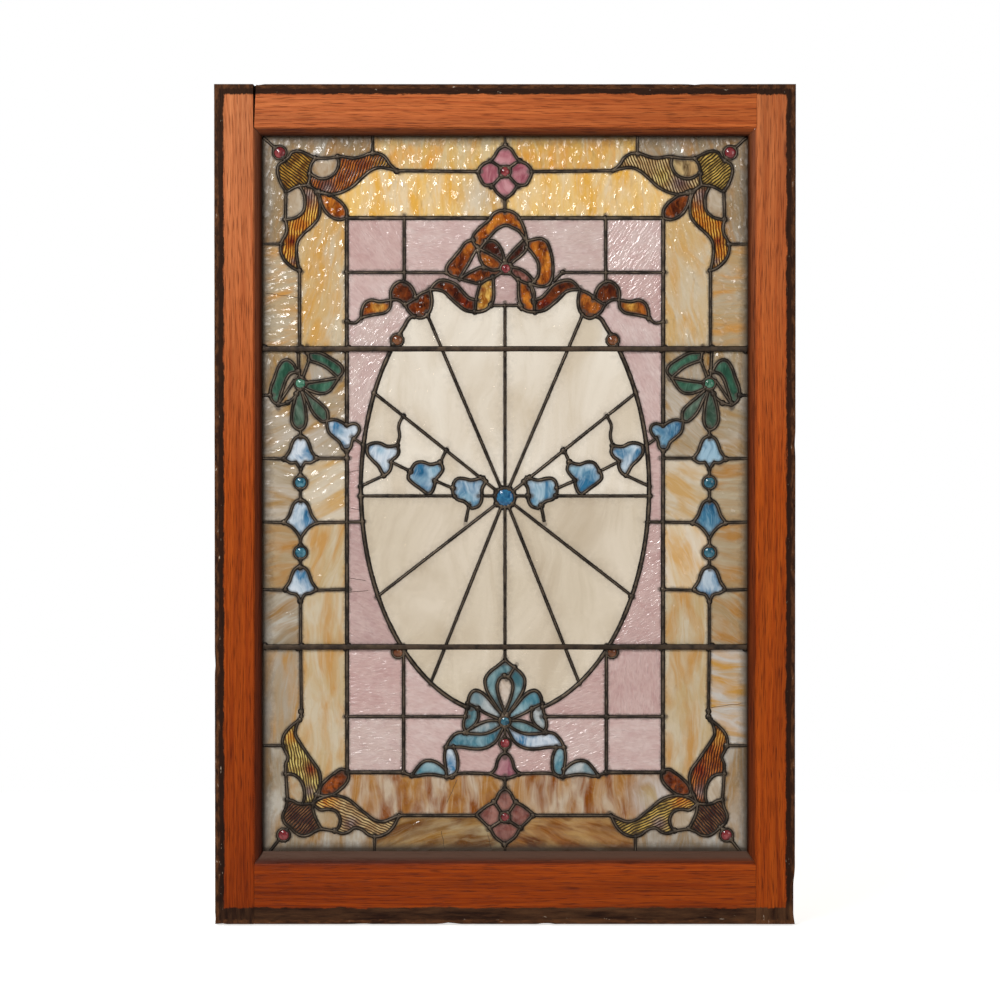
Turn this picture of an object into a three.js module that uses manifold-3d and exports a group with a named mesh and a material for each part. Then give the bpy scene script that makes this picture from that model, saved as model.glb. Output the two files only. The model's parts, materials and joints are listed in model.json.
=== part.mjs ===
// A leaded stained glass window in its oak sash.
// Millimetres, +Z up. The origin is the middle of the underside of the bottom rail.
// X runs across the window and the decorated face looks along -Y.

import * as THREE from 'three';
import { mergeVertices } from 'three/addons/utils/BufferGeometryUtils.js';
import Module from 'manifold-3d';

const wasm = await Module();
wasm.setup();

// ---------------------------------------------------------------- driving dimensions

const SASH = { width: 737, height: 1066, depth: 35 };
const STILE_WIDTH = 49.5; // flat face, without the moulding
const TOP_RAIL_WIDTH = 54.5; // flat face, without the moulding
const BOTTOM_RAIL_WIDTH = 76; // flat face, without the bevel
const MOULDING = { width: 11, drop: 8.5, fillet: 1.6 }; // ovolo round three sides
const SILL_BEVEL = 16; // height of the plain bevel on the bottom rail
const REBATE = { width: 9, front: -3.3 }; // the panel is let in from the back
const GAP = 0.3; // clearance between pieces that touch
const OPEN_JOINT = { top: 3.8, bottom: 1.2 }; // shrunken joint at the left of the top rail

const LEAD = { depth: 6, border: 7, wide: 6.6, plain: 5.2, thin: 4.4 };
const GLASS_THICKNESS = 3;
const BAR = { height: 7, depth: 3.4, upper: 731, lower: 352 }; // support bars
const PUTTY = { width: 8, height: 9 };
const STRAIGHTEN = 1.8; // an outline's points closer than this to a straight run are dropped
const FLUSH_BELOW = 160; // glass pieces of less area than this, in square mm, are left flush
const BEAD_SIDES = 8; // sides of the small round cames
const HUB_SIDES = 12;
const OVAL_STEPS = 15;

const halfWidth = SASH.width / 2;
const front = -SASH.depth / 2;
const back = SASH.depth / 2;
const joint = {
  side: halfWidth - STILE_WIDTH,
  bottom: BOTTOM_RAIL_WIDTH,
  top: SASH.height - TOP_RAIL_WIDTH,
};
const sight = {
  side: joint.side - MOULDING.width,
  bottom: joint.bottom + SILL_BEVEL,
  top: joint.top - MOULDING.width,
};
const rebate = {
  side: sight.side + REBATE.width,
  bottom: sight.bottom - REBATE.width,
  top: sight.top + REBATE.width,
};
const border = {
  side: rebate.side - 1 - LEAD.border / 2,
  bottom: rebate.bottom + GAP + LEAD.border / 2,
  top: rebate.top - 1 - LEAD.border / 2,
};

// ---------------------------------------------------------------- the leaded design
// A came is { path, width, closed, round }. A path is a list of [distance from the middle, height].
// The two sides of the window mirror each other, except the bow at the top.

const ROW = { upper: 592, middle: 511, lower: 425 };
const STRING = 260; // the strings of bells hang this far from the middle
const INNER = { side: 201, top: 897, bottom: 192 }; // the inner border
const GRID = { side: 128, top: 828, bottom: 263 }; // bars of the pink field
const OVAL = { x: 183.5, z: 288.5, middle: 553 };
const HUB = { z: 542, radius: 12.5 };

function came(width, ...path) {
  return { path, width, closed: false };
}

function ring(x, z, radius, width = LEAD.plain - 1, sides = BEAD_SIDES) {
  const path = [];
  for (let i = 0; i < sides; i += 1) {
    const turn = ((i + 0.5) * 2 * Math.PI) / sides;
    path.push([x + radius * Math.cos(turn), z + radius * Math.sin(turn)]);
  }
  return { path, width, closed: true, round: true };
}

function ovalPoint(turn) {
  return [OVAL.x * Math.cos(turn), OVAL.middle + OVAL.z * Math.sin(turn)];
}

// The left arc of the oval, from the garland at the top down to the bow at the bottom.
function ovalArc() {
  const path = [];
  const start = THREE.MathUtils.degToRad(49);
  const end = THREE.MathUtils.degToRad(-75.5);
  for (let i = 0; i <= OVAL_STEPS; i += 1) {
    path.push(ovalPoint(start + ((end - start) * i) / OVAL_STEPS));
  }
  return came(LEAD.wide, [116, 771], ...path);
}

function borderLines() {
  const { wide, plain, thin } = LEAD;
  return [
    came(wide, [INNER.side, INNER.top], [INNER.side, 636]),
    came(wide, [INNER.side, 603], [INNER.side, INNER.bottom]),
    came(wide, [INNER.side, INNER.bottom], [130, INNER.bottom]),
    came(plain, [137, 957], [34, 956]),
    came(plain, [135, 137], [37, 137]),
    came(thin, [261, 830], [261, BAR.upper]),
    came(thin, [STRING, 407], [STRING, BAR.lower], [258, 270]),
    came(thin, [168, border.top], [168, 979]),
    came(thin, [166, border.bottom], [166, 110]),
    came(thin, [border.side, 864], [285, 864]),
    came(thin, [border.side, 226], [283, 226]),
    came(thin, [border.side, ROW.upper], [281, 591]),
    came(thin, [239, ROW.upper], [INNER.side, ROW.upper]),
    came(thin, [border.side, ROW.middle], [280, 510]),
    came(thin, [240, 510], [OVAL.x - 2, ROW.middle]),
    came(thin, [border.side, ROW.lower], [281, 424]),
    came(thin, [239, 424], [INNER.side, ROW.lower]),
  ];
}

function pinkGridLines() {
  const { plain, thin } = LEAD;
  return [
    came(plain, [GRID.side, INNER.top], [GRID.side, 817]),
    came(plain, [GRID.side + 1, 338], [GRID.side + 1, INNER.bottom]),
    came(thin, [INNER.side, GRID.top], [73, GRID.top]),
    came(thin, [INNER.side, GRID.bottom], [50, GRID.bottom]),
    came(thin, [border.side, BAR.upper], [148, BAR.upper]),
    came(thin, [border.side, BAR.lower], [136, BAR.lower]),
  ];
}

function spokes() {
  const reach = [[99, 775], [165, 674], [161, 417], [94, 307]];
  const lines = reach.map(([x, z]) => {
    const turn = Math.atan2(z - HUB.z, x);
    const rim = [HUB.radius * Math.cos(turn), HUB.z + HUB.radius * Math.sin(turn)];
    return came(LEAD.thin, rim, [x, z]);
  });
  lines.push(came(LEAD.thin, [HUB.radius, HUB.z + 2], [30, HUB.z + 2]));
  lines.push(came(LEAD.thin, [66, HUB.z + 2], [183, HUB.z + 2]));
  return lines;
}

// Leaf head, two ribbons, two clear tears and a drop in each upper corner.
function upperCorner() {
  const w = LEAD.plain;
  return [
    ring(286, 980, 8.3),
    came(w, [281, 973], [278, 968]),
    came(w, [292, 986], [308, 1000]),
    came(w, [250, 939], [264, 937], [277, 930], [283, 938], [289, 958], [287, 965],
      [281, 969], [274, 975], [271, 980], [263, 982], [241, 973]),
    came(w, [241, 973], [247, 963], [248, 948], [250, 939]),
    came(w, [241, 973], [225, 973], [208, 975], [193, 973], [182, 975], [171, 979], [161, 979],
      [152, 974], [146, 965], [137, 957]),
    came(w, [212, 973], [211, 965], [216, 954], [225, 948], [235, 947], [247, 953]),
    came(w, [137, 957], [149, 960], [161, 961], [171, 957], [183, 947], [194, 937], [207, 930],
      [221, 927], [235, 930], [250, 939]),
    came(w, [236, 929], [225, 928], [213, 921], [206, 915], [201, 906], [201, 897],
      [210, 895], [218, 897], [227, 904], [233, 915], [236, 929]),
    came(w, [278, 930], [279, 895]),
    came(w, [260, 937], [255, 926], [254, 916], [256, 906], [263, 899], [271, 896], [279, 895]),
    came(w, [250, 939], [241, 932], [236, 920], [235, 907], [237, 897], [245, 887], [255, 878],
      [263, 868], [265, 857], [264, 844], [261, 830]),
    came(w, [279, 895], [277, 885], [278, 877], [283, 868], [285, 859], [283, 849], [277, 840],
      [268, 833], [261, 830]),
  ];
}

function lowerCorner() {
  const w = LEAD.plain;
  return [
    ring(282, 112, 8),
    came(w, [279, 117], [275, 122]),
    came(w, [287, 107], [302, 88]),
    came(w, [277, 157], [271, 156], [263, 152], [245, 152], [244, 142], [240, 131], [234, 120],
      [243, 116], [250, 112], [259, 111], [267, 115], [273, 121], [281, 128], [283, 137],
      [279, 147], [277, 157]),
    came(w, [279, 190], [277, 157]),
    came(w, [259, 270], [260, 261], [267, 255], [276, 247], [282, 238], [283, 227], [279, 218],
      [276, 211], [279, 203], [279, 190]),
    came(w, [262, 258], [265, 251], [267, 241], [262, 231], [254, 219], [245, 206], [237, 194],
      [235, 182], [237, 171], [245, 152]),
    came(w, [279, 190], [269, 189], [262, 184], [257, 175], [255, 164], [257, 152]),
    came(w, [237, 163], [234, 175], [226, 184], [217, 191], [208, 196], [201, 193], [199, 186],
      [203, 177], [210, 170], [218, 164], [229, 162], [237, 163]),
    came(w, [245, 152], [235, 144], [225, 145], [215, 142], [210, 133], [211, 124], [216, 117],
      [234, 120]),
    came(w, [245, 152], [237, 158], [226, 162], [213, 162], [199, 157], [188, 148], [177, 139],
      [166, 131], [155, 129], [144, 133], [135, 137]),
    came(w, [216, 117], [208, 114], [199, 116], [192, 121], [182, 119], [173, 112], [163, 110],
      [151, 114], [142, 123], [135, 137]),
  ];
}

function greenBow() {
  const w = LEAD.plain;
  return [
    ring(260, 687, 7.6),
    came(w, [264, 702], [269, 712], [276, 717], [282, 716], [288, 708], [293, 694], [298, 680],
      [298, 670], [295, 664], [287, 660], [277, 662]),
    came(w, [264, 702], [273, 699], [278, 692], [282, 681], [287, 665]),
    came(w, [267, 692], [287, 663]),
    came(w, [262, 679], [268, 669], [277, 662]),
    came(w, [251, 731], [249, 716], [237, 712], [227, 707], [212, 694]),
    came(w, [251, 727], [235, 726], [220, 718], [208, 709], [206, 702], [212, 694]),
    came(w, [249, 716], [257, 694]),
    came(w, [253, 688], [237, 690], [212, 694]),
    came(w, [255, 681], [246, 677], [235, 674], [225, 676], [217, 685], [212, 694]),
    came(w, [263, 679], [268, 664], [271, 650], [271, 638], [267, 631], [260, 628],
      [255, 632], [253, 638], [253, 650], [255, 664], [259, 678]),
    came(w, [258, 678], [251, 664], [245, 651], [236, 641], [230, 638], [225, 641],
      [226, 652], [234, 661], [245, 670], [255, 679]),
    came(w, [263, BAR.upper], [262, 709], [261, 694]),
    came(w, [298, 672], [border.side, 672]),
  ];
}

// A bell seen from the side; its waist is pinched and its lip comes to a point.
function bell(top, lip) {
  return {
    width: LEAD.plain,
    closed: true,
    path: [[STRING, top], [267, top - 3], [271, top - 10], [274, top - 19], [281, top - 29],
      [273, top - 35], [266, lip + 5], [STRING, lip], [254, lip + 5], [247, top - 35],
      [239, top - 29], [246, top - 19], [249, top - 10], [253, top - 3]],
  };
}

function stringOfBells() {
  const stem = (z0, z1) => came(LEAD.thin, [STRING, z0], [STRING, z1]);
  return [
    bell(620, 580), bell(539, 492), bell(454, 412),
    ring(STRING, 561, 8.2), ring(STRING, 472, 8.2),
    stem(628, 620), stem(580, 569), stem(553, 539), stem(492, 480), stem(464, 454),
    stem(412, 400),
  ];
}

// Four bells in a swag that dips from the bow to the hub.
function swagOfBells() {
  const w = LEAD.plain;
  const closed = true;
  return [
    { width: w, closed, path: [[227, 639], [217, 641], [208, 638], [201, 634], [193, 636],
      [187, 634], [185, 628], [189, 620], [194, 615], [196, 606], [201, 601], [206, 604],
      [210, 612], [217, 618], [224, 625]] },
    { width: w, closed, path: [[175, 608], [168, 611], [159, 611], [150, 607], [137, 608],
      [135, 600], [138, 594], [144, 589], [145, 580], [149, 573], [154, 570], [157, 575],
      [161, 582], [169, 590], [175, 598]] },
    { width: w, closed, path: [[119, 578], [113, 586], [104, 587], [95, 584], [82, 587],
      [79, 578], [83, 571], [88, 565], [90, 556], [94, 548], [98, 546], [110, 555], [118, 561],
      [123, 567]] },
    { width: w, closed, path: [[65, 561], [60, 566], [52, 566], [43, 564], [27, 568],
      [25, 562], [29, 554], [30, 538], [34, 531], [42, 528], [52, 537], [61, 540], [66, 547],
      [66, 554]] },
    came(LEAD.thin, [192, 617], [182, 610]),
    came(LEAD.thin, [154, 570], [182, 557]),
    came(LEAD.thin, [137, 608], [134, 620], [135, 634], [130, 645]),
    came(LEAD.thin, [144, 587], [122, 576]),
    came(LEAD.thin, [82, 587], [75, 602]),
    came(LEAD.thin, [88, 563], [67, 554]),
    came(LEAD.thin, [46, 531], [50, 511]),
  ];
}

function garland() {
  const w = LEAD.plain;
  return [
    came(w, [95, 806], [90, 813], [83, 818], [71, 817], [61, 812], [53, 803], [46, 796],
      [37, 793]),
    came(w, [95, 806], [86, 806], [77, 803], [70, 796], [60, 787], [50, 780], [38, 778],
      [28, 779], [20, 784], [17, 791]),
    came(w, [32, 813], [36, 797], [38, 779]),
    came(w, [95, 806], [107, 801], [117, 793], [127, 787]),
    came(w, [127, 787], [122, 778], [114, 772], [107, 770], [99, 774], [94, 783], [93, 794],
      [95, 806]),
    came(w, [145, 793], [145, 805], [140, 813], [131, 817], [122, 813], [116, 805], [113, 796]),
    came(w, [145, 793], [136, 793], [127, 787]),
    came(w, [183, 770], [182, 780], [178, 789], [170, 793], [160, 791], [145, 793]),
    came(w, [INNER.side, 765], [190, 764], [183, 770], [173, 773], [161, 775], [152, 777],
      [146, 783], [145, 793]),
    ring(137, 742, 7.8),
    ring(136, 345, 7.4),
  ];
}

function lowerBow() {
  const w = LEAD.plain;
  return [
    came(w, [0, 335], [10, 327], [20, 319], [25, 311], [25, 303], [22, 294], [14, 281], [4, 266]),
    came(w, [0, 315], [6, 312], [10, 303], [9, 293], [6, 283], [0, 268]),
    came(w, [4, 266], [14, 277], [23, 288], [32, 295], [39, 296], [45, 290], [47, 281],
      [49, 270], [53, 251], [50, 244]),
    came(w, [46, 279], [36, 274], [24, 267], [8, 260]),
    came(w, [34, 272], [34, 261], [39, 252], [50, 244]),
    came(w, [8, 258], [19, 258], [32, 254], [50, 244]),
    came(w, [5, 251], [15, 245], [27, 241], [39, 241], [61, 242], [70, 234], [75, 224],
      [77, 213], [76, 201], [74, 187]),
    came(w, [5, 243], [11, 232], [20, 225], [30, 222], [42, 222], [55, 224], [74, 224]),
    came(w, [65, 223], [61, 213], [60, 201], [62, 192], [68, 187]),
    came(w, [118, 189], [110, 200], [103, 206], [95, 207], [86, 204], [76, 196]),
    came(w, [130, INNER.bottom], [122, 189], [113, 187], [102, 189], [90, 189], [79, 187],
      [68, 187], [61, 190], [50, 191], [18, 190]),
    came(w, [0, 217], [6, 213], [10, 205], [12, 197], [18, 190], [9, 186], [0, 184]),
  ];
}

function flowers() {
  const w = LEAD.plain;
  return [
    came(w, [0, 989], [8, 984], [13, 976], [18, 970], [28, 965], [34, 956], [31, 946],
      [26, 939], [17, 938], [10, 929], [0, 921]),
    came(w, [17, 969], [5, 961]),
    came(w, [16, 938], [5, 950]),
    came(w, [0, 171], [6, 167], [13, 155], [23, 149], [37, 138], [25, 126], [19, 120],
      [13, 110], [0, 100]),
    came(w, [13, 153], [5, 141]),
    came(w, [19, 121], [5, 130]),
  ];
}

// The bow at the top is not symmetrical: x is measured from the middle, right is positive.
function upperBow() {
  const w = LEAD.plain;
  return [
    came(LEAD.wide, [-INNER.side, INNER.top], [-22, INNER.top]),
    came(LEAD.wide, [INNER.side, INNER.top], [19, INNER.top]),
    came(w, [-32, 858], [-39, 864], [-41, 873], [-34, 883], [-27, 889], [-20, 895], [-15, 902],
      [-8, 906], [0, 907], [9, 905], [17, 899], [21, 892], [25, 882], [28, 868]),
    came(w, [-32, 858], [-17, 876], [-10, 883], [-5, 886], [1, 888], [9, 885], [17, 881],
      [23, 874], [28, 868]),
    came(w, [24, 870], [8, 853], [0, 843]),
    came(w, [28, 868], [28, 859], [8, 839]),
    came(w, [-24, 868], [-14, 868], [-6, 860], [0, 843]),
    came(w, [-32, 858], [-10, 846], [-3, 840]),
    came(w, [-34, 857], [-32, 845], [-27, 835]),
    came(w, [-40, 870], [-50, 866], [-57, 857], [-66, 846], [-72, 839], [-75, 831], [-71, 825],
      [-58, 820]),
    came(w, [-36, 858], [-48, 836], [-58, 820]),
    came(w, [-58, 820], [-39, 831], [-27, 835], [-17, 831], [-4, 832]),
    came(w, [-58, 820], [-44, 816], [-32, 814], [-23, 819], [-14, 822], [-3, 829]),
    came(w, [28, 868], [37, 870], [46, 871], [53, 867], [57, 858], [60, 846], [61, 834],
      [60, 821], [56, 813], [48, 810], [33, 813]),
    came(w, [29, 859], [37, 849], [42, 840], [43, 830], [41, 822], [33, 813]),
    came(w, [8, 835], [18, 833], [28, 827], [37, 817]),
    came(w, [5, 829], [15, 820], [25, 815], [33, 813]),
    came(w, [-15, 821], [-15, 793], [-18, 786]),
    came(w, [17, 818], [18, 793], [21, 784]),
    came(w, [33, 813], [37, 803], [37, 793]),
    came(w, [61, 816], [73, GRID.top]),
  ];
}

function middleLine() {
  const stem = (z0, z1) => came(LEAD.thin, [0, z0], [0, z1]);
  return [
    stem(border.top, 989), stem(921, 907),
    came(LEAD.thin, [-16, 786], [20, 786]),
    stem(786, HUB.z + HUB.radius), stem(HUB.z - HUB.radius, 335),
    stem(251, 236), stem(223, 214), stem(184, 171), stem(100, border.bottom),
    ring(0, HUB.z, HUB.radius, LEAD.plain, HUB_SIDES),
    ring(0, 956, 7.2), ring(0, 135, 6.6), ring(1, 833, 7), ring(0, 257, 7.2), ring(0, 229, 7.2),
  ];
}

const borderCame = {
  width: LEAD.border,
  closed: true,
  path: [[-border.side, border.bottom], [border.side, border.bottom],
    [border.side, border.top], [-border.side, border.top]],
};

function mirrored(cames) {
  return cames.map((one) => ({ ...one, path: one.path.map(([x, z]) => [-x, z]) }));
}

const halfDesign = [
  ...borderLines(), ...pinkGridLines(), ovalArc(), ...spokes(), ...upperCorner(),
  ...lowerCorner(), ...greenBow(), ...stringOfBells(), ...swagOfBells(), ...garland(),
  ...lowerBow(), ...flowers(),
];
const cames = [borderCame, ...halfDesign, ...mirrored(halfDesign), ...upperBow(), ...middleLine()];

// ---------------------------------------------------------------- solids

function manifoldOf(geometry) {
  geometry.deleteAttribute('normal');
  geometry.deleteAttribute('uv');
  const welded = mergeVertices(geometry, 1e-4);
  return new wasm.Manifold(new wasm.Mesh({
    numProp: 3,
    vertProperties: Float32Array.from(welded.attributes.position.array),
    triVerts: Uint32Array.from(welded.index.array),
  }));
}

function geometryOf(solid) {
  const mesh = solid.getMesh();
  const geometry = new THREE.BufferGeometry();
  geometry.setAttribute('position', new THREE.BufferAttribute(mesh.vertProperties, 3));
  geometry.setIndex(new THREE.BufferAttribute(mesh.triVerts, 1));
  geometry.computeVertexNormals();
  return geometry;
}

function joined(solids) {
  return solids.reduce((whole, solid) => whole.add(solid));
}

// An outline drawn in X and Z, made solid between two depths.
function plate(outline, y0, y1, hole) {
  const corners = outline.map(([x, z]) => new THREE.Vector2(x, z));
  if (THREE.ShapeUtils.isClockWise(corners)) {
    corners.reverse();
  }
  const shape = new THREE.Shape(corners);
  if (hole) {
    shape.holes.push(new THREE.Path(hole.map(([x, z]) => new THREE.Vector2(x, z))));
  }
  const geometry = new THREE.ExtrudeGeometry(shape, { depth: y1 - y0, bevelEnabled: false });
  geometry.rotateX(Math.PI / 2);
  geometry.translate(0, y1, 0);
  return manifoldOf(geometry);
}

function rectangle(x0, z0, x1, z1) {
  return [[x0, z0], [x1, z0], [x1, z1], [x0, z1]];
}

// Drops the points of an open path that lie close to a straight run.
function straightened(path) {
  const [ax, az] = path[0];
  const [bx, bz] = path[path.length - 1];
  const length = Math.hypot(bx - ax, bz - az) || 1;
  let far = 0;
  let split = 0;
  for (let i = 1; i < path.length - 1; i += 1) {
    const [px, pz] = path[i];
    const off = length > 1
      ? Math.abs((px - ax) * (bz - az) - (pz - az) * (bx - ax)) / length
      : Math.hypot(px - ax, pz - az);
    if (off > far) {
      far = off;
      split = i;
    }
  }
  if (far < STRAIGHTEN) {
    return [path[0], path[path.length - 1]];
  }
  return [...straightened(path.slice(0, split + 1)).slice(0, -1), ...straightened(path.slice(split))];
}

// The points of a path moved sideways, mitred at the bends.
function offsetPath(path, distance, closed) {
  const count = path.length;
  return path.map(([x, z], i) => {
    const before = path[closed ? (i + count - 1) % count : Math.max(i - 1, 0)];
    const after = path[closed ? (i + 1) % count : Math.min(i + 1, count - 1)];
    const into = new THREE.Vector2(x - before[0], z - before[1]).normalize();
    const out = new THREE.Vector2(after[0] - x, after[1] - z).normalize();
    if (!closed && i === 0) into.copy(out);
    if (!closed && i === count - 1) out.copy(into);
    const along = into.clone().add(out).normalize();
    const reach = distance / Math.max(along.dot(into), 0.6);
    return [x - along.y * reach, z + along.x * reach];
  });
}

// One strip of lead, rectangular in section, widened by a clearance where glass is cut round it.
function strip({ path, width, closed, round }, y0, y1, clearance = 0) {
  const half = width / 2 + clearance;
  if (closed) {
    const loop = round ? path : straightened([...path, path[0]]).slice(0, -1);
    const clockwise = THREE.ShapeUtils.isClockWise(loop.map(([x, z]) => new THREE.Vector2(x, z)));
    const outer = offsetPath(loop, clockwise ? half : -half, true);
    const inner = offsetPath(loop, clockwise ? -half : half, true);
    return plate(outer, y0, y1, inner);
  }
  const line = straightened(path);
  const left = offsetPath(line, half, false);
  const right = offsetPath(line, -half, false);
  return plate([...left, ...right.reverse()], y0, y1);
}

// ---------------------------------------------------------------- the leaded panel

const leadFront = -LEAD.depth / 2;
const leadBack = LEAD.depth / 2;
const glassFront = -GLASS_THICKNESS / 2;
const glassBack = GLASS_THICKNESS / 2;
const panel = rectangle(-border.side, border.bottom, border.side, border.top);

const GLASS_COLOURS = { amber: 0xd0a868, pink: 0xc9aaa8, clear: 0xd8cfc0 };

// The panes that are nodes of their own: a point in the left one of each pair.
const PANES = {
  amber: {
    top_outer: [84, 980], top_inner: [95, 927],
    side_inner_upper: [232, 800], side_outer_upper: [286, 790],
    bow_outer: [292, 630],
    upper_row_inner: [222, 552], upper_row_outer: [296, 552],
    middle_row_inner: [222, 463], middle_row_outer: [296, 463],
    lower_row_inner: [222, 387], lower_row_outer: [296, 387],
    side_inner_lower: [229, 285], side_outer_lower: [286, 298],
    bottom_inner: [95, 158], bottom_outer: [95, 114],
  },
  pink: {
    top_outer: [165, 863], top_inner: [100, 863],
    column_upper: [185, 690], column_lower: [190, 425],
    bottom_outer: [165, 298], bottom_corner: [165, 228],
  },
  clear: {
    upper_outer: [108, 690], upper_inner: [32, 690], middle: [121, 500],
    lower_outer: [95, 425], lower_inner: [32, 412],
  },
};

function cameNetwork(y0, y1, clearance = 0) {
  return joined(cames.map((one) => strip(one, y0, y1, clearance)));
}

// Merges the seams that joining leaves on flat faces.
function seamless(solid) {
  return solid.asOriginal().simplify(0.01);
}

function holding(solids, [x, z]) {
  const probe = plate(rectangle(x - 0.1, z - 0.1, x + 0.1, z + 0.1), glassFront, glassBack);
  return solids.find((solid) => {
    const { min, max } = solid.boundingBox();
    const near = min[0] < x && x < max[0] && min[2] < z && z < max[2];
    return near && !solid.intersect(probe).isEmpty();
  });
}

function paneSeeds() {
  const seeds = [];
  for (const [glass, places] of Object.entries(PANES)) {
    for (const [place, [x, z]] of Object.entries(places)) {
      seeds.push({ name: `${glass}_pane_${place}_left`, glass, at: [-x, z] });
      seeds.push({ name: `${glass}_pane_${place}_right`, glass, at: [x, z] });
    }
  }
  return seeds;
}

// The cames as one soldered net. Small glass is fused with it, set back from its face.
function soldered(cells, openCells) {
  const tiny = cells.filter((cell) => cell.volume() / LEAD.depth < FLUSH_BELOW);
  const open = joined(openCells);
  const infill = plate(panel, glassFront, leadBack).subtract(open);
  return seamless(joined([cameNetwork(leadFront, leadBack), infill, ...tiny]));
}

// ---------------------------------------------------------------- the oak sash

// Section of a member: t runs in from its outer edge, y from front to back.
function memberSection(flat, nose, moulded) {
  const edge = flat + nose;
  const points = [[0, front], [flat, front]];
  if (moulded) {
    points.push([flat, front + MOULDING.fillet]);
    for (const angle of [22.5, 45, 67.5, 90]) {
      const turn = THREE.MathUtils.degToRad(angle);
      const drop = (MOULDING.drop - MOULDING.fillet) * (1 - Math.cos(turn));
      points.push([flat + nose * Math.sin(turn), front + MOULDING.fillet + drop]);
    }
  } else {
    points.push([edge, front + MOULDING.drop]);
  }
  const shoulder = edge - REBATE.width;
  points.push([edge, REBATE.front], [shoulder, REBATE.front], [shoulder, back], [0, back]);
  return points;
}

function member(section, length) {
  const shape = new THREE.Shape(section.map(([t, y]) => new THREE.Vector2(t, y)));
  return new THREE.ExtrudeGeometry(shape, { depth: length, bevelEnabled: false });
}

// The stiles run the full height and are mitred where the mouldings meet.
function stile(side) {
  const geometry = member(memberSection(STILE_WIDTH, MOULDING.width, true), SASH.height);
  if (side > 0) {
    geometry.rotateY(Math.PI);
    geometry.translate(halfWidth, 0, SASH.height);
  } else {
    geometry.translate(-halfWidth, 0, 0);
  }
  const outline = [[halfWidth, 0], [joint.side, 0], [joint.side, joint.bottom],
    [sight.side, sight.bottom], [sight.side, sight.top], [joint.side, joint.top],
    [joint.side, SASH.height], [halfWidth, SASH.height]];
  const keep = plate(outline.map(([x, z]) => [side * x, z]), front - 1, back + 1);
  return manifoldOf(geometry).intersect(keep);
}

function topRail() {
  const geometry = member(memberSection(TOP_RAIL_WIDTH, MOULDING.width, true), SASH.width);
  geometry.rotateY(Math.PI / 2);
  geometry.translate(-halfWidth, 0, SASH.height);
  const keep = plate([
    [-joint.side + OPEN_JOINT.top, SASH.height], [-joint.side + OPEN_JOINT.bottom, joint.top],
    [-sight.side + GAP, sight.top], [sight.side - GAP, sight.top],
    [joint.side - GAP, joint.top], [joint.side - GAP, SASH.height],
  ], front - 1, back + 1);
  return manifoldOf(geometry).intersect(keep);
}

function bottomRail() {
  const geometry = member(memberSection(BOTTOM_RAIL_WIDTH, SILL_BEVEL, false), SASH.width);
  geometry.rotateY(-Math.PI / 2);
  geometry.translate(halfWidth, 0, 0);
  const keep = plate([
    [-joint.side + GAP, 0], [joint.side - GAP, 0], [joint.side - GAP, joint.bottom],
    [sight.side - GAP, sight.bottom], [-sight.side + GAP, sight.bottom],
    [-joint.side + GAP, joint.bottom],
  ], front - 1, back + 1);
  return manifoldOf(geometry).intersect(keep);
}

function supportBar(middle) {
  const reach = sight.side - GAP;
  const outline = rectangle(-reach, middle - BAR.height / 2, reach, middle + BAR.height / 2);
  return plate(outline, leadFront - GAP - BAR.depth, leadFront - GAP);
}

// A fillet of putty in the rebate behind the panel, one closed ring with mitred corners.
function glazingPutty() {
  const start = leadBack + GAP;
  const section = [[GAP, start], [PUTTY.width, start], [GAP, start + PUTTY.height]];
  const corners = [[-1, 0], [1, 0], [1, 1], [-1, 1]];
  const positions = [];
  for (const [side, upper] of corners) {
    for (const [inset, y] of section) {
      const z = upper ? rebate.top - inset : rebate.bottom + inset;
      positions.push(side * (rebate.side - inset), y, z);
    }
  }
  const faces = [];
  for (let corner = 0; corner < 4; corner += 1) {
    const next = (corner + 1) % 4;
    for (let i = 0; i < 3; i += 1) {
      const j = (i + 1) % 3;
      const [a, b, c, d] = [corner * 3 + i, next * 3 + i, next * 3 + j, corner * 3 + j];
      faces.push(a, b, c, a, c, d);
    }
  }
  const geometry = new THREE.BufferGeometry();
  geometry.setAttribute('position', new THREE.Float32BufferAttribute(positions, 3));
  geometry.setIndex(faces);
  return geometry;
}

// ---------------------------------------------------------------- the window

const oak = new THREE.MeshStandardMaterial({ color: 0x8a4420, roughness: 0.45 });
const leadGrey = new THREE.MeshStandardMaterial({ color: 0x4b4640, roughness: 0.6, metalness: 0.7 });
const zinc = new THREE.MeshStandardMaterial({ color: 0x6b635a, roughness: 0.5, metalness: 0.8 });
const chalk = new THREE.MeshStandardMaterial({ color: 0x8c857a, roughness: 0.95 });

const group = new THREE.Group();

function add(name, geometry, material) {
  const mesh = new THREE.Mesh(geometry, material);
  mesh.name = name;
  group.add(mesh);
}

add('left_stile', geometryOf(stile(-1)), oak);
add('right_stile', geometryOf(stile(1)), oak);
add('top_rail', geometryOf(topRail()), oak);
add('bottom_rail', geometryOf(bottomRail()), oak);
add('glazing_putty', glazingPutty(), chalk);
add('upper_support_bar', geometryOf(supportBar(BAR.upper)), zinc);
add('lower_support_bar', geometryOf(supportBar(BAR.lower)), zinc);

const seeds = paneSeeds();
const wholePanel = plate(panel, leadFront, leadBack);
const cells = wholePanel.subtract(cameNetwork(leadFront, leadBack)).decompose();
const openCells = seeds.map(({ at }) => holding(cells, at));
add('lead_came_network', geometryOf(soldered(cells, openCells)), leadGrey);

const sheet = plate(panel, glassFront, glassBack);
const panes = sheet.subtract(cameNetwork(leadFront, leadBack, GAP)).decompose();
for (const { name, glass, at } of seeds) {
  const material = new THREE.MeshStandardMaterial({ color: GLASS_COLOURS[glass], roughness: 0.2 });
  add(name, geometryOf(seamless(holding(panes, at))), material);
}

export default group;
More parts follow.
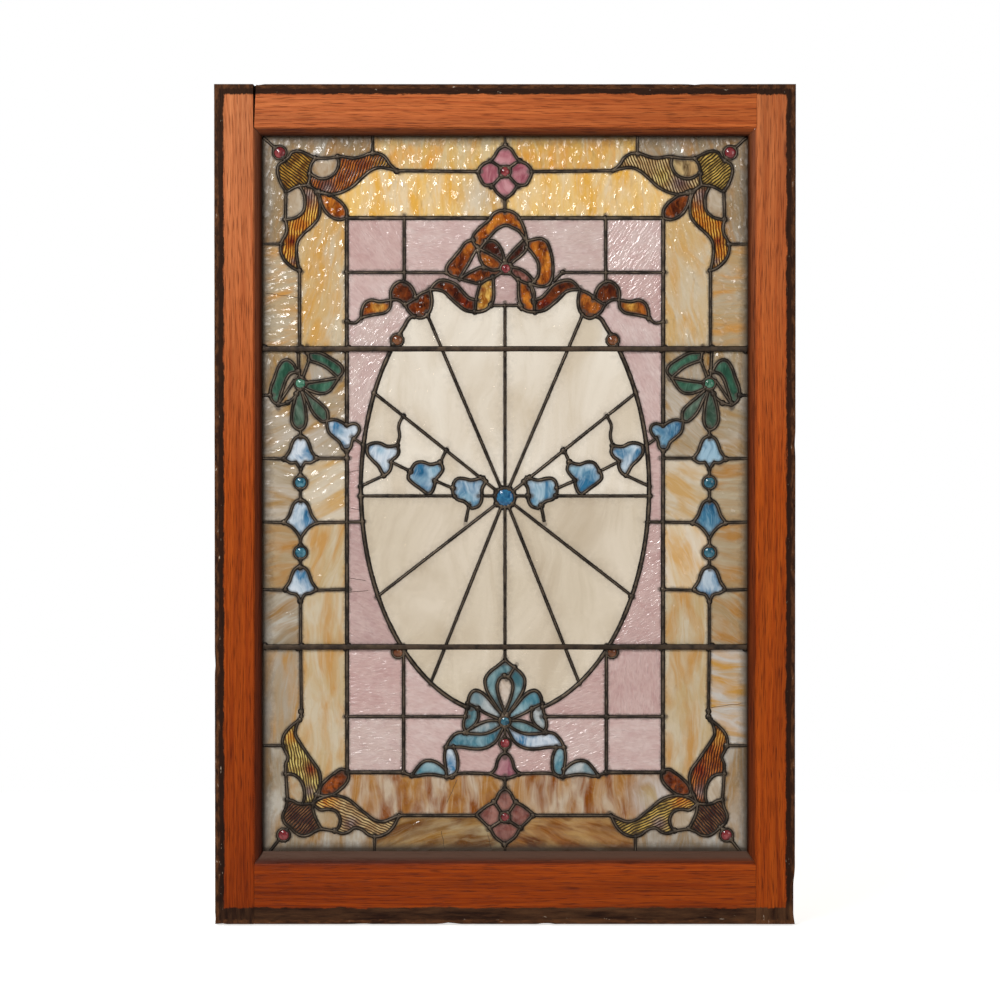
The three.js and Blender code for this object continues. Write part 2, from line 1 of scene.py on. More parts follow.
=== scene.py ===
"""A leaded stained glass window in its worn oak sash.

Metres, +Z up. The origin is the middle of the underside of the bottom rail, X runs across
the window and the decorated face looks along -Y. The leading is drawn in millimetres, as
(distance from the middle, height), and the left side mirrors the right.
"""

import functools
import json
import math
import random

import bmesh
import bpy
from mathutils import Matrix, Vector, noise
from mathutils.geometry import delaunay_2d_cdt, interpolate_bezier
from mathutils.kdtree import KDTree

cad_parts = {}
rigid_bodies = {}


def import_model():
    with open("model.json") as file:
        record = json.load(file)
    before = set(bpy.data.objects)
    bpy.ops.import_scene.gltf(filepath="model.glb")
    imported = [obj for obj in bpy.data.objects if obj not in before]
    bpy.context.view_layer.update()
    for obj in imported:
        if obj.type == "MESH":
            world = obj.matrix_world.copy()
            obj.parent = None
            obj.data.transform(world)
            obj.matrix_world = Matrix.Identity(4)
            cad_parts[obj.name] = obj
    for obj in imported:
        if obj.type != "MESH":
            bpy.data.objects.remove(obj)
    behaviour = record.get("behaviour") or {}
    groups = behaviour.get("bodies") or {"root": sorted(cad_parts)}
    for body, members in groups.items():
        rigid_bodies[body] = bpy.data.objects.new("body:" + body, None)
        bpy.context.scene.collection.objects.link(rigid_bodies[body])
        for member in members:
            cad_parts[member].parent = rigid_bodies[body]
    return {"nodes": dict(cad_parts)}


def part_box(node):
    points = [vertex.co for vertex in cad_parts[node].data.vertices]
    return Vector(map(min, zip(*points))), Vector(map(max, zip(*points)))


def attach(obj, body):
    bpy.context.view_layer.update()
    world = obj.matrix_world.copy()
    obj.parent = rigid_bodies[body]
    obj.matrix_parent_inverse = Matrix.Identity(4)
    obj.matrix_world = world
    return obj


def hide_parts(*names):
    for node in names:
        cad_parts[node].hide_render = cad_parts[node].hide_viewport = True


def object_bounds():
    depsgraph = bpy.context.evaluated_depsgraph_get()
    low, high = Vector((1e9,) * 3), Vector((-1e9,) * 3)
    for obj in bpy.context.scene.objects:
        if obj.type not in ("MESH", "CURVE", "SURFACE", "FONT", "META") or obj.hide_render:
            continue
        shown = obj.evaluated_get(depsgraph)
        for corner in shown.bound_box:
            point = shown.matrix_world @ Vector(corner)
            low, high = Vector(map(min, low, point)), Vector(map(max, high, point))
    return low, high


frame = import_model()
CAD_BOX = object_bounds()

bl_info = {
    "name": "Stained glass window",
    "version": (1, 0, 0),
    "blender": (4, 5, 0),
    "location": "View3D > Sidebar > Window",
    "description": "Builds a leaded stained glass window in an oak sash, piece by piece",
    "category": "Object",
}

MM = 0.001

# ---------------------------------------------------------------- sizes, in millimetres


def box_mm(node):
    low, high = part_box(node)
    return low / MM, high / MM


def height_of(node):
    low, high = box_mm(node)
    return (low.z + high.z) / 2


HALF_WIDTH = CAD_BOX[1].x / MM
HEIGHT = CAD_BOX[1].z / MM
FRONT = CAD_BOX[0].y / MM
BACK = CAD_BOX[1].y / MM
SIGHT_SIDE = -box_mm("left_stile")[1].x
SIGHT_TOP = box_mm("top_rail")[0].z
SIGHT_BOTTOM = box_mm("bottom_rail")[1].z
SILL_DIRT_AND_SHADE = 3  # the dirt and painted shade on the glass lie this high above the sill before they thin out
CLEAR_OF_DIRT_AND_SHADE = 500  # a distance from lead and sash at which glass has neither dirt nor painted shade
MOULDING_WIDTH = 11.0
MOULDING_DROP = 8.5
FILLET = 1.6
SILL_BEVEL = 16.0
JOINT_SIDE = SIGHT_SIDE + MOULDING_WIDTH
JOINT_TOP = SIGHT_TOP + MOULDING_WIDTH
JOINT_BOTTOM = SIGHT_BOTTOM - SILL_BEVEL
REBATE_WIDTH = 9.0
REBATE_FRONT = -3.3
GAP = 0.3
OPEN_JOINT = (3.8, 1.2)  # gap at the top and at the foot of the shrunken joint

LEAD_LOW, LEAD_HIGH = box_mm("lead_came_network")
BORDER_WIDTH = 7.0
BORDER_SIDE = LEAD_HIGH.x - BORDER_WIDTH / 2
BORDER_BOTTOM = LEAD_LOW.z + BORDER_WIDTH / 2
BORDER_TOP = LEAD_HIGH.z - BORDER_WIDTH / 2
WIDE, PLAIN, THIN = 6.6, 5.2, 4.4  # widths of came
UPPER_BAR = height_of("upper_support_bar")
LOWER_BAR = height_of("lower_support_bar")

ROW_UPPER, ROW_MIDDLE, ROW_LOWER = 592, 511, 425
STRING = 260  # the strings of bells hang this far from the middle
INNER_SIDE, INNER_TOP, INNER_BOTTOM = 201, 897, 192  # inner border
GRID_SIDE, GRID_TOP, GRID_BOTTOM = 128, 828, 263  # bars of the pink field
OVAL_X, OVAL_Z, OVAL_MIDDLE = 183.5, 288.5, 553
HUB_Z, HUB_RADIUS = 542, 12.5

# ---------------------------------------------------------------- the leading


def came(width, *path):
    return {"path": [tuple(p) for p in path], "width": width, "closed": False}


def loop(width, *path):
    return {"path": [tuple(p) for p in path], "width": width, "closed": True}


def ring(x, z, radius, width=PLAIN - 1, sides=12):
    turns = [2 * math.pi * (i + 0.5) / sides for i in range(sides)]
    return loop(width, *[(x + radius * math.cos(t), z + radius * math.sin(t)) for t in turns])


def stem(x, z0, z1):
    return came(THIN, (x, z0), (x, z1))


def border_lines():
    return [
        came(WIDE, (INNER_SIDE, INNER_TOP), (INNER_SIDE, 636)),
        came(WIDE, (INNER_SIDE, 603), (INNER_SIDE, INNER_BOTTOM)),
        came(WIDE, (INNER_SIDE, INNER_BOTTOM), (130, INNER_BOTTOM)),
        came(PLAIN, (137, 957), (34, 956)),
        came(PLAIN, (135, 137), (37, 137)),
        came(THIN, (261, 830), (261, UPPER_BAR)),
        came(THIN, (STRING, 407), (STRING, LOWER_BAR), (259, 271)),
        came(THIN, (168, BORDER_TOP), (168, 979)),
        came(THIN, (166, BORDER_BOTTOM), (166, 110)),
        came(THIN, (BORDER_SIDE, 864), (285, 864)),
        came(THIN, (BORDER_SIDE, 226), (283, 226)),
        came(THIN, (BORDER_SIDE, ROW_UPPER), (281, 591)),
        came(THIN, (239, ROW_UPPER), (INNER_SIDE, ROW_UPPER)),
        came(THIN, (BORDER_SIDE, ROW_MIDDLE), (280, 510)),
        came(THIN, (240, 510), (OVAL_X - 2, ROW_MIDDLE)),
        came(THIN, (BORDER_SIDE, ROW_LOWER), (281, 424)),
        came(THIN, (239, 424), (INNER_SIDE, ROW_LOWER)),
    ]


def pink_grid_lines():
    return [
        came(PLAIN, (GRID_SIDE, INNER_TOP), (GRID_SIDE, 817)),
        came(PLAIN, (GRID_SIDE + 1, 352), (GRID_SIDE + 1, INNER_BOTTOM)),
        came(THIN, (INNER_SIDE, GRID_TOP), (73, GRID_TOP)),
        came(THIN, (INNER_SIDE, GRID_BOTTOM), (50, GRID_BOTTOM)),
        came(THIN, (BORDER_SIDE, UPPER_BAR), (148, UPPER_BAR)),
        came(THIN, (BORDER_SIDE, LOWER_BAR), (128, LOWER_BAR)),
    ]


def oval_arc():
    start, end, steps = math.radians(49), math.radians(-75.5), 36
    turns = [start + (end - start) * i / steps for i in range(steps + 1)]
    arc = [(OVAL_X * math.cos(t), OVAL_MIDDLE + OVAL_Z * math.sin(t)) for t in turns]
    return came(WIDE, (112, 773), *arc)


def spokes():
    lines = []
    for x, z in ((99, 775), (165, 674), (161, 417), (94, 307)):
        turn = math.atan2(z - HUB_Z, x)
        rim = (HUB_RADIUS * math.cos(turn), HUB_Z + HUB_RADIUS * math.sin(turn))
        lines.append(came(THIN, rim, (x, z)))
    lines.append(came(THIN, (HUB_RADIUS, HUB_Z + 2), (30, HUB_Z + 2)))
    lines.append(came(THIN, (66, HUB_Z + 2), (183, HUB_Z + 2)))
    return lines


def upper_corner():
    """Leaf head, two ribbons, two pale tears and a drop."""
    return [
        ring(286, 980, 8.3),
        came(PLAIN, (281, 973), (278, 968)),
        came(PLAIN, (292, 986), (308, 1000)),
        came(PLAIN, (250, 939), (264, 937), (277, 930), (283, 938), (289, 958), (287, 965),
            (281, 969), (274, 975), (271, 980), (263, 982), (241, 973)),
        came(PLAIN, (241, 973), (247, 963), (248, 948), (250, 939)),
        came(PLAIN, (241, 973), (225, 973), (208, 975), (193, 973), (182, 975), (171, 979), (161, 979),
            (152, 974), (146, 965), (137, 957)),
        came(PLAIN, (212, 973), (211, 965), (216, 954), (225, 948), (235, 947), (247, 953)),
        came(PLAIN, (137, 957), (149, 960), (161, 961), (171, 957), (183, 947), (194, 937), (207, 930),
            (221, 927), (235, 930), (250, 939)),
        came(PLAIN, (236, 929), (225, 928), (213, 921), (206, 915), (201, 906), (201, 897),
            (210, 895), (218, 897), (227, 904), (233, 915), (236, 929)),
        came(PLAIN, (278, 930), (279, 895)),
        came(PLAIN, (260, 937), (255, 926), (254, 916), (256, 906), (263, 899), (271, 896), (279, 895)),
        came(PLAIN, (250, 939), (241, 932), (236, 920), (235, 907), (237, 897), (245, 887), (255, 878),
            (263, 868), (265, 857), (264, 844), (261, 830)),
        came(PLAIN, (279, 895), (277, 885), (278, 877), (283, 868), (285, 859), (283, 849), (277, 840),
            (268, 833), (261, 830)),
    ]


def lower_corner():
    """The same pieces as in the upper corner, turned over."""
    return [
        ring(282, 112, 8),
        came(PLAIN, (279, 117), (275, 122)),
        came(PLAIN, (287, 107), (302, 88)),
        came(PLAIN, (277, 157), (271, 156), (263, 152), (245, 152), (244, 142), (240, 131), (234, 120),
            (243, 116), (250, 112), (259, 111), (267, 115), (273, 121), (281, 128), (283, 137),
            (279, 147), (277, 157)),
        came(PLAIN, (279, 190), (277, 157)),
        came(PLAIN, (259, 270), (260, 261), (267, 255), (276, 247), (282, 238), (283, 227), (279, 218),
            (276, 211), (279, 203), (279, 190)),
        came(PLAIN, (260, 262), (265, 252), (267, 241), (262, 231), (254, 219), (245, 206), (237, 194),
            (235, 182), (237, 171), (245, 152)),
        came(PLAIN, (279, 190), (269, 189), (262, 184), (257, 175), (255, 164), (257, 152)),
        came(PLAIN, (237, 163), (234, 175), (226, 184), (217, 191), (208, 196), (201, 193), (199, 186),
            (203, 177), (210, 170), (218, 164), (229, 162), (237, 163)),
        came(PLAIN, (245, 152), (235, 144), (225, 145), (215, 142), (210, 133), (211, 124), (216, 117),
            (234, 120)),
        came(PLAIN, (245, 152), (237, 158), (226, 162), (213, 162), (199, 157), (188, 148), (177, 139),
            (166, 131), (155, 129), (144, 133), (135, 137)),
        came(PLAIN, (216, 117), (208, 114), (199, 116), (192, 121), (182, 119), (173, 112), (163, 110),
            (151, 114), (142, 123), (135, 137)),
    ]


def green_bow():
    return [
        ring(260, 687, 7.6),
        came(PLAIN, (264, 702), (269, 712), (276, 717), (282, 716), (288, 708), (293, 694), (298, 680),
            (298, 670), (295, 664), (287, 660), (277, 662)),
        came(PLAIN, (264, 702), (273, 699), (278, 692), (282, 681), (287, 665), (288, 659)),
        came(PLAIN, (267, 692), (288, 661)),
        came(PLAIN, (262, 679), (268, 669), (277, 662)),
        came(PLAIN, (251, 731), (249, 716), (237, 712), (227, 707), (212, 694)),
        came(PLAIN, (251, 727), (235, 726), (220, 718), (208, 709), (206, 702), (212, 694)),
        came(PLAIN, (249, 716), (257, 694)),
        came(PLAIN, (253, 688), (237, 690), (212, 694)),
        came(PLAIN, (255, 681), (246, 677), (235, 674), (225, 676), (217, 685), (212, 694)),
        came(PLAIN, (263, 679), (268, 664), (271, 650), (271, 638), (267, 631), (260, 628),
            (255, 632), (253, 638), (253, 650), (255, 664), (259, 678)),
        came(PLAIN, (258, 678), (251, 664), (245, 651), (236, 641), (230, 638), (225, 641),
            (226, 652), (234, 661), (245, 670), (255, 679)),
        came(PLAIN, (263, UPPER_BAR), (262, 709), (261, 694)),
        came(PLAIN, (298, 672), (BORDER_SIDE, 672)),
    ]


def bell(top, lip):
    """A bell seen from the side: its waist is pinched and its lip comes to a point."""
    return loop(
        PLAIN, (STRING, top), (267, top - 3), (271, top - 10), (274, top - 19), (281, top - 29),
        (272, top - 34), (266, lip + 7), (STRING, lip - 2), (254, lip + 7), (248, top - 34),
        (239, top - 29), (246, top - 19), (249, top - 10), (253, top - 3))


def string_of_bells():
    return [
        bell(620, 580), bell(539, 492), bell(454, 412),
        ring(STRING, 561, 8.2), ring(STRING, 472, 8.2),
        stem(STRING, 628, 620), stem(STRING, 580, 569), stem(STRING, 553, 539),
        stem(STRING, 492, 480), stem(STRING, 464, 454), stem(STRING, 412, 400),
    ]


def swag_of_bells():
    """Four bells in a swag that dips from the green bow to the hub."""
    return [
        loop(PLAIN, (227, 639), (217, 641), (208, 638), (201, 634), (193, 636),
            (187, 634), (185, 628), (189, 620), (194, 615), (196, 606), (201, 601), (206, 604),
            (210, 612), (217, 618), (224, 625)),
        loop(PLAIN, (175, 608), (168, 611), (159, 611), (150, 607), (137, 608),
            (135, 600), (138, 594), (144, 589), (145, 580), (149, 573), (154, 570), (157, 575),
            (161, 582), (169, 590), (175, 598)),
        loop(PLAIN, (119, 578), (113, 586), (104, 587), (95, 584), (82, 587),
            (79, 578), (83, 571), (88, 565), (90, 556), (94, 548), (98, 546), (110, 555), (118, 561),
            (123, 567)),
        loop(PLAIN, (65, 561), (60, 566), (52, 566), (43, 564), (27, 568),
            (25, 562), (29, 554), (30, 538), (34, 531), (42, 528), (52, 537), (61, 540), (66, 547),
            (66, 554)),
        came(THIN, (192, 617), (182, 610)),
        came(THIN, (154, 570), (182, 557)),
        came(THIN, (137, 608), (134, 620), (135, 634), (130, 645)),
        came(THIN, (144, 587), (122, 576)),
        came(THIN, (82, 587), (75, 602)),
        came(THIN, (88, 563), (67, 554)),
        came(THIN, (46, 531), (50, 511)),
    ]


def garland():
    return [
        came(PLAIN, (95, 806), (90, 813), (83, 818), (71, 817), (61, 812), (53, 803), (46, 796),
            (37, 793)),
        came(PLAIN, (95, 806), (86, 806), (77, 803), (70, 796), (60, 787), (50, 780), (38, 778),
            (28, 779), (20, 784), (17, 791)),
        came(PLAIN, (32, 813), (36, 797), (38, 779)),
        came(PLAIN, (95, 806), (107, 801), (117, 793), (127, 787)),
        came(PLAIN, (127, 787), (122, 778), (114, 772), (107, 770), (99, 774), (94, 783), (93, 794),
            (95, 806)),
        came(PLAIN, (145, 793), (145, 805), (140, 813), (131, 817), (122, 813), (116, 805), (113, 796)),
        came(PLAIN, (145, 793), (136, 793), (127, 787)),
        came(PLAIN, (183, 770), (182, 780), (178, 789), (170, 793), (160, 791), (145, 793)),
        came(PLAIN, (INNER_SIDE, 765), (190, 764), (183, 770), (173, 773), (161, 775), (152, 777),
            (146, 783), (145, 793)),
        ring(137, 742, 7.8),
        ring(136, 345, 7.4),
    ]


def lower_bow():
    return [
        came(PLAIN, (0, 335), (10, 327), (20, 319), (25, 311), (25, 303), (22, 294), (14, 281), (4, 266)),
        came(PLAIN, (0, 315), (6, 312), (10, 303), (9, 293), (6, 283), (0, 268)),
        came(PLAIN, (4, 266), (14, 277), (23, 288), (32, 295), (39, 296), (45, 290), (47, 281),
            (49, 270), (53, 251), (50, 244)),
        came(PLAIN, (46, 279), (36, 274), (24, 267), (8, 260)),
        came(PLAIN, (34, 272), (34, 261), (39, 252), (50, 244)),
        came(PLAIN, (8, 258), (19, 258), (32, 254), (50, 244)),
        came(PLAIN, (5, 251), (15, 245), (27, 241), (39, 241), (61, 242), (70, 234), (75, 224),
            (77, 213), (76, 201), (74, 187)),
        came(PLAIN, (2, 249), (6, 241), (11, 232), (20, 225), (30, 222), (42, 222), (55, 224), (74, 224)),
        came(PLAIN, (65, 223), (61, 213), (60, 201), (62, 192), (68, 187)),
        came(PLAIN, (118, 189), (110, 200), (103, 206), (95, 207), (86, 204), (76, 196)),
        came(PLAIN, (130, INNER_BOTTOM), (122, 189), (113, 187), (102, 189), (90, 189), (79, 187),
            (68, 187), (61, 190), (50, 191), (18, 190)),
        came(PLAIN, (0, 217), (6, 213), (10, 205), (12, 197), (18, 190), (9, 186), (0, 184)),
    ]


def flowers():
    return [
        came(PLAIN, (0, 989), (8, 984), (13, 976), (18, 970), (28, 965), (34, 956), (31, 946),
            (26, 939), (17, 938), (10, 929), (0, 921)),
        came(PLAIN, (17, 969), (5, 961)),
        came(PLAIN, (16, 938), (5, 950)),
        came(PLAIN, (0, 171), (6, 167), (13, 155), (23, 149), (37, 138), (25, 126), (19, 120),
            (13, 110), (0, 100)),
        came(PLAIN, (13, 153), (5, 141)),
        came(PLAIN, (19, 121), (5, 130)),
    ]


def upper_bow():
    """The one part that isn't mirrored: here x is positive to the right."""
    return [
        came(WIDE, (-INNER_SIDE, INNER_TOP), (-22, INNER_TOP)),
        came(WIDE, (INNER_SIDE, INNER_TOP), (19, INNER_TOP)),
        came(PLAIN, (-32, 858), (-39, 864), (-41, 873), (-34, 883), (-27, 889), (-20, 895), (-15, 902),
            (-8, 906), (0, 907), (9, 905), (17, 899), (21, 892), (25, 882), (28, 868)),
        came(PLAIN, (-32, 858), (-17, 876), (-10, 883), (-5, 886), (1, 888), (9, 885), (17, 881),
            (23, 874), (28, 868)),
        came(PLAIN, (24, 870), (8, 853), (0, 843)),
        came(PLAIN, (28, 868), (28, 859), (8, 839)),
        came(PLAIN, (-24, 868), (-14, 868), (-6, 860), (0, 843)),
        came(PLAIN, (-32, 858), (-10, 846), (-3, 840)),
        came(PLAIN, (-34, 857), (-32, 845), (-27, 835)),
        came(PLAIN, (-40, 870), (-50, 866), (-57, 857), (-66, 846), (-72, 839), (-75, 831), (-71, 825),
            (-58, 820)),
        came(PLAIN, (-36, 858), (-48, 836), (-58, 820)),
        came(PLAIN, (-58, 820), (-39, 831), (-27, 835), (-17, 831), (-4, 832)),
        came(PLAIN, (-58, 820), (-44, 816), (-32, 814), (-23, 819), (-14, 822), (-3, 829)),
        came(PLAIN, (28, 868), (37, 870), (46, 871), (53, 867), (57, 858), (60, 846), (61, 834),
            (60, 821), (56, 813), (48, 810), (33, 813)),
        came(PLAIN, (29, 859), (37, 849), (42, 840), (43, 830), (41, 822), (33, 813)),
        came(PLAIN, (8, 835), (18, 833), (28, 827), (37, 817)),
        came(PLAIN, (5, 829), (15, 820), (25, 815), (33, 813)),
        came(PLAIN, (-15, 821), (-15, 793), (-18, 786)),
        came(PLAIN, (17, 818), (18, 793), (21, 784)),
        came(PLAIN, (33, 813), (37, 803), (37, 793)),
        came(PLAIN, (61, 816), (73, GRID_TOP)),
    ]


def middle_line():
    return [
        stem(0, BORDER_TOP, 989), stem(0, 921, 907),
        came(THIN, (-16, 786), (20, 786)),
        came(PLAIN, (4, 313), (13, 327)),
        stem(0, 786, HUB_Z + HUB_RADIUS), stem(0, HUB_Z - HUB_RADIUS, 335),
        stem(0, 251, 236), stem(0, 223, 214), stem(0, 184, 171), stem(0, 100, BORDER_BOTTOM),
        ring(0, HUB_Z, HUB_RADIUS, PLAIN, 24),
        ring(0, 956, 7.2), ring(0, 135, 6.6), ring(1, 833, 7), ring(0, 257, 7.2), ring(0, 229, 7.2),
    ]


def frame_came():
    """The wide came round the edge of the panel."""
    return loop(
        BORDER_WIDTH, (-BORDER_SIDE, BORDER_BOTTOM), (BORDER_SIDE, BORDER_BOTTOM),
        (BORDER_SIDE, BORDER_TOP), (-BORDER_SIDE, BORDER_TOP))


@functools.lru_cache(maxsize=None)
def all_cames():
    half = [
        *border_lines(), *pink_grid_lines(), oval_arc(), *spokes(), *upper_corner(),
        *lower_corner(), *green_bow(), *string_of_bells(), *swag_of_bells(), *garland(),
        *lower_bow(), *flowers(),
    ]
    other = [{**line, "path": [(-x, z) for x, z in line["path"]]} for line in half]
    return [frame_came(), *half, *other, *upper_bow(), *middle_line()]


# ---------------------------------------------------------------- smooth lines and cells

SHARP_TURN = math.radians(62)
LINE_STEP = 2.8  # spacing of points along a came
OVERRUN = 3.4  # how far a centre line runs on into the came that it meets
GRID_STEP = 3.0  # spacing of the points that carry the relief of the glass
ROW_PITCH = 0.866  # distance between rows of those points, as a share of their spacing
CLEAR_OF_LINES = 2.0  # how far those points keep from a centre line
SAME_POINT = 0.05  # points nearer than this are one


def heading(before, here, after):
    """Direction of a smooth line as it passes a point, or None where it turns sharply."""
    into = (here - before).normalized()
    out = (after - here).normalized()
    if into.length == 0 or out.length == 0:
        return None
    if into.angle(out) > SHARP_TURN:
        return None
    return (into + out).normalized()


def curved(line, step=LINE_STEP):
    """A came's centre line in short steps, smooth except at its sharp corners."""
    points = [Vector((x, z, 0)) for x, z in line["path"]]
    count = len(points)
    closed = line["closed"]
    course = []
    for i in range(count if closed else count - 1):
        here, there = points[i], points[(i + 1) % count]
        before = points[i - 1] if closed or i > 0 else here
        after = points[(i + 2) % count] if closed or i + 2 < count else there
        straight = (there - here).normalized()
        leaving = heading(before, here, there) or straight
        arriving = heading(here, there, after) or straight
        reach = (there - here).length / 3
        steps = max(1, round(reach * 3 / step))
        bend = interpolate_bezier(
            here, here + leaving * reach, there - arriving * reach, there, steps + 1)
        course.extend(bend[:-1])
    if not closed:
        course.append(points[-1])
    return course


def overrun(before, end):
    """A point a little past the end of a line, kept on the panel."""
    past = end + (end - before).normalized() * OVERRUN
    past.x = max(-BORDER_SIDE, min(BORDER_SIDE, past.x))
    past.y = max(BORDER_BOTTOM, min(BORDER_TOP, past.y))
    return past


def cutting_lines():
    """Points and edges of every centre line, each end run on a little."""
    points, edges = [], []
    for line in all_cames():
        course = curved(line)
        if not line["closed"]:
            course = [overrun(course[1], course[0]), *course, overrun(course[-2], course[-1])]
        first = len(points)
        points.extend(course)
        edges.extend((first + i, first + i + 1) for i in range(len(course) - 1))
        if line["closed"]:
            edges.append((len(points) - 1, first))
    return points, edges


def tree_of(points):
    tree = KDTree(len(points))
    for i, point in enumerate(points):
        tree.insert(Vector((point[0], point[1], 0)), i)
    tree.balance()
    return tree


def relief_points(lines):
    """A staggered grid of points over the panel, clear of the centre lines."""
    tree = tree_of(lines)
    rows = int((BORDER_TOP - BORDER_BOTTOM) / (GRID_STEP * ROW_PITCH))
    points = []
    for j in range(1, rows):
        z = BORDER_BOTTOM + j * GRID_STEP * ROW_PITCH
        x = -BORDER_SIDE + GRID_STEP * (1 + (j % 2) / 2)
        while x < BORDER_SIDE - 1:
            here = Vector((x, z, 0))
            if tree.find(here)[2] > CLEAR_OF_LINES:
                points.append(here)
            x += GRID_STEP
    return points


def edges_of(triangle):
    """The edges of a triangle, each as a sorted pair of points."""
    return [tuple(sorted(pair)) for pair in zip(triangle, triangle[1:] + triangle[:1])]


@functools.lru_cache(maxsize=None)
def arrangement():
    """Cuts the panel along the centre lines: points, triangles, cells and joints."""
    lines, edges = cutting_lines()
    points = lines + relief_points(lines)
    flat = [Vector((p.x, p.y)) for p in points]
    corners, out_edges, triangles, _, sources, _ = delaunay_2d_cdt(
        flat, edges, [], 0, SAME_POINT)
    walls = {tuple(sorted(e)) for e, source in zip(out_edges, sources) if source}
    sides = {}
    for t, triangle in enumerate(triangles):
        for side in edges_of(triangle):
            sides.setdefault(side, []).append(t)
    cell_of = [-1] * len(triangles)
    cells = []
    for start in range(len(triangles)):
        if cell_of[start] >= 0:
            continue
        cell_of[start] = len(cells)
        members, waiting = [], [start]
        while waiting:
            t = waiting.pop()
            members.append(t)
            for side in edges_of(triangles[t]):
                if side in walls:
                    continue
                for other in sides[side]:
                    if cell_of[other] < 0:
                        cell_of[other] = cell_of[start]
                        waiting.append(other)
        cells.append(members)
    meeting = {}
    for a, b in walls:
        meeting[a] = meeting.get(a, 0) + 1
        meeting[b] = meeting.get(b, 0) + 1
    joints = [corners[i] for i, count in meeting.items() if count > 2]
    return corners, triangles, cells, cell_of, joints


def triangle_area(triangle, corners):
    a, b, c = (corners[i] for i in triangle)
    return abs((b - a).cross(c - a)) / 2


def centre_of(triangle, corners):
    a, b, c = (corners[i] for i in triangle)
    return (a + b + c) / 3


# ---------------------------------------------------------------- the sheets of glass

# Body, streak and pale colour of each sheet, as red, green and blue out of 255.
SHEETS = {
    "honey": ((216, 172, 92), (220, 156, 66), (216, 194, 150)),
    "pale honey": ((236, 194, 116), (230, 174, 76), (232, 206, 164)),
    "straw": ((206, 172, 118), (208, 158, 84), (208, 190, 160)),
    "old straw": ((184, 156, 114), (200, 146, 78), (188, 172, 146)),
    "pearl": ((168, 150, 122), (166, 130, 78), (192, 180, 164)),
    "cream": ((198, 178, 146), (202, 162, 104), (214, 200, 178)),
    "umber": ((168, 142, 104), (176, 128, 70), (186, 172, 146)),
    "sand": ((196, 170, 126), (196, 148, 86), (206, 190, 162)),
    "pale sand": ((220, 198, 164), (214, 168, 106), (226, 212, 192)),
    "driftwood": ((166, 146, 118), (180, 138, 84), (178, 168, 154)),
    "banded": ((186, 172, 152), (198, 148, 72), (206, 200, 194)),
    "toffee": ((172, 122, 62), (134, 72, 14), (196, 176, 152)),
    "molasses": ((156, 114, 56), (110, 66, 14), (176, 156, 118)),
    "treacle": ((144, 84, 26), (98, 50, 8), (178, 140, 88)),
    "moonstone": ((196, 192, 190), (184, 160, 120), (212, 208, 208)),
    "lagoon": ((84, 134, 148), (48, 100, 118), (150, 180, 188)),
    "dusk": ((156, 140, 116), (156, 120, 74), (188, 180, 166)),
    "night": ((148, 130, 106), (164, 126, 74), (186, 180, 170)),
    "smoke": ((152, 130, 98), (166, 126, 78), (168, 156, 138)),
    "rose": ((206, 174, 168), (194, 156, 152), (218, 192, 186)),
    "pale rose": ((212, 184, 178), (202, 168, 164), (224, 204, 198)),
    "mauve": ((198, 168, 162), (184, 150, 148), (210, 184, 178)),
    "shell": ((210, 186, 178), (198, 166, 162), (222, 202, 196)),
    "clear": ((225, 212, 193), (208, 191, 166), (238, 228, 212)),
    "smoky clear": ((210, 195, 172), (188, 170, 144), (222, 208, 188)),
    "tiger": ((122, 80, 26), (44, 28, 14), (196, 150, 56)),
    "olive tiger": ((132, 106, 50), (50, 38, 22), (206, 172, 84)),
    "brass": ((170, 142, 74), (74, 54, 26), (224, 202, 120)),
    "flame": ((200, 122, 36), (104, 46, 12), (228, 180, 78)),
    "walnut": ((70, 32, 18), (30, 16, 10), (122, 82, 50)),
    "rust": ((132, 62, 20), (58, 26, 12), (188, 108, 38)),
    "plum": ((112, 84, 78), (56, 38, 34), (168, 146, 138)),
    "wine": ((110, 26, 10), (60, 16, 10), (150, 56, 20)),
    "biscuit": ((172, 138, 92), (84, 58, 34), (216, 190, 136)),
    "ember": ((158, 76, 18), (94, 34, 8), (206, 126, 42)),
    "coal": ((98, 38, 10), (52, 18, 6), (158, 78, 26)),
    "amber": ((196, 138, 54), (146, 84, 22), (230, 186, 96)),
    "chestnut": ((72, 25, 9), (38, 14, 8), (122, 56, 20)),
    "garnet": ((46, 16, 10), (28, 10, 6), (84, 34, 20)),
    "oyster": ((178, 158, 132), (162, 132, 96), (204, 190, 170)),
    "green": ((44, 88, 68), (26, 58, 44), (84, 126, 104)),
    "sage": ((66, 92, 76), (40, 64, 50), (112, 132, 116)),
    "ice": ((184, 200, 212), (66, 122, 160), (214, 222, 230)),
    "blue": ((78, 132, 162), (30, 90, 128), (160, 192, 210)),
    "deep blue": ((66, 122, 152), (26, 76, 110), (156, 188, 204)),
    "mist": ((140, 176, 194), (48, 112, 150), (200, 214, 224)),
    "slate": ((84, 124, 132), (54, 96, 106), (136, 166, 170)),
    "dove": ((158, 168, 168), (112, 138, 146), (196, 200, 200)),
    "peony": ((168, 96, 106), (144, 70, 84), (206, 152, 156)),
    "old rose": ((112, 58, 50), (82, 36, 30), (158, 108, 96)),
    "orchid": ((152, 88, 102), (128, 62, 84), (190, 142, 146)),
    "milk": ((196, 176, 156), (172, 146, 122), (216, 202, 188)),
}


def pane(piece, x, z, left, right=None, turn=0, spots=(), sides=(-1, 1)):
    """Glass at a distance from the middle and a height, cut from one sheet or from two."""
    return {
        "piece": piece, "x": x, "z": z, "sheets": {-1: left, 1: right or left},
        "turn": turn, "spots": spots, "sides": sides,
    }


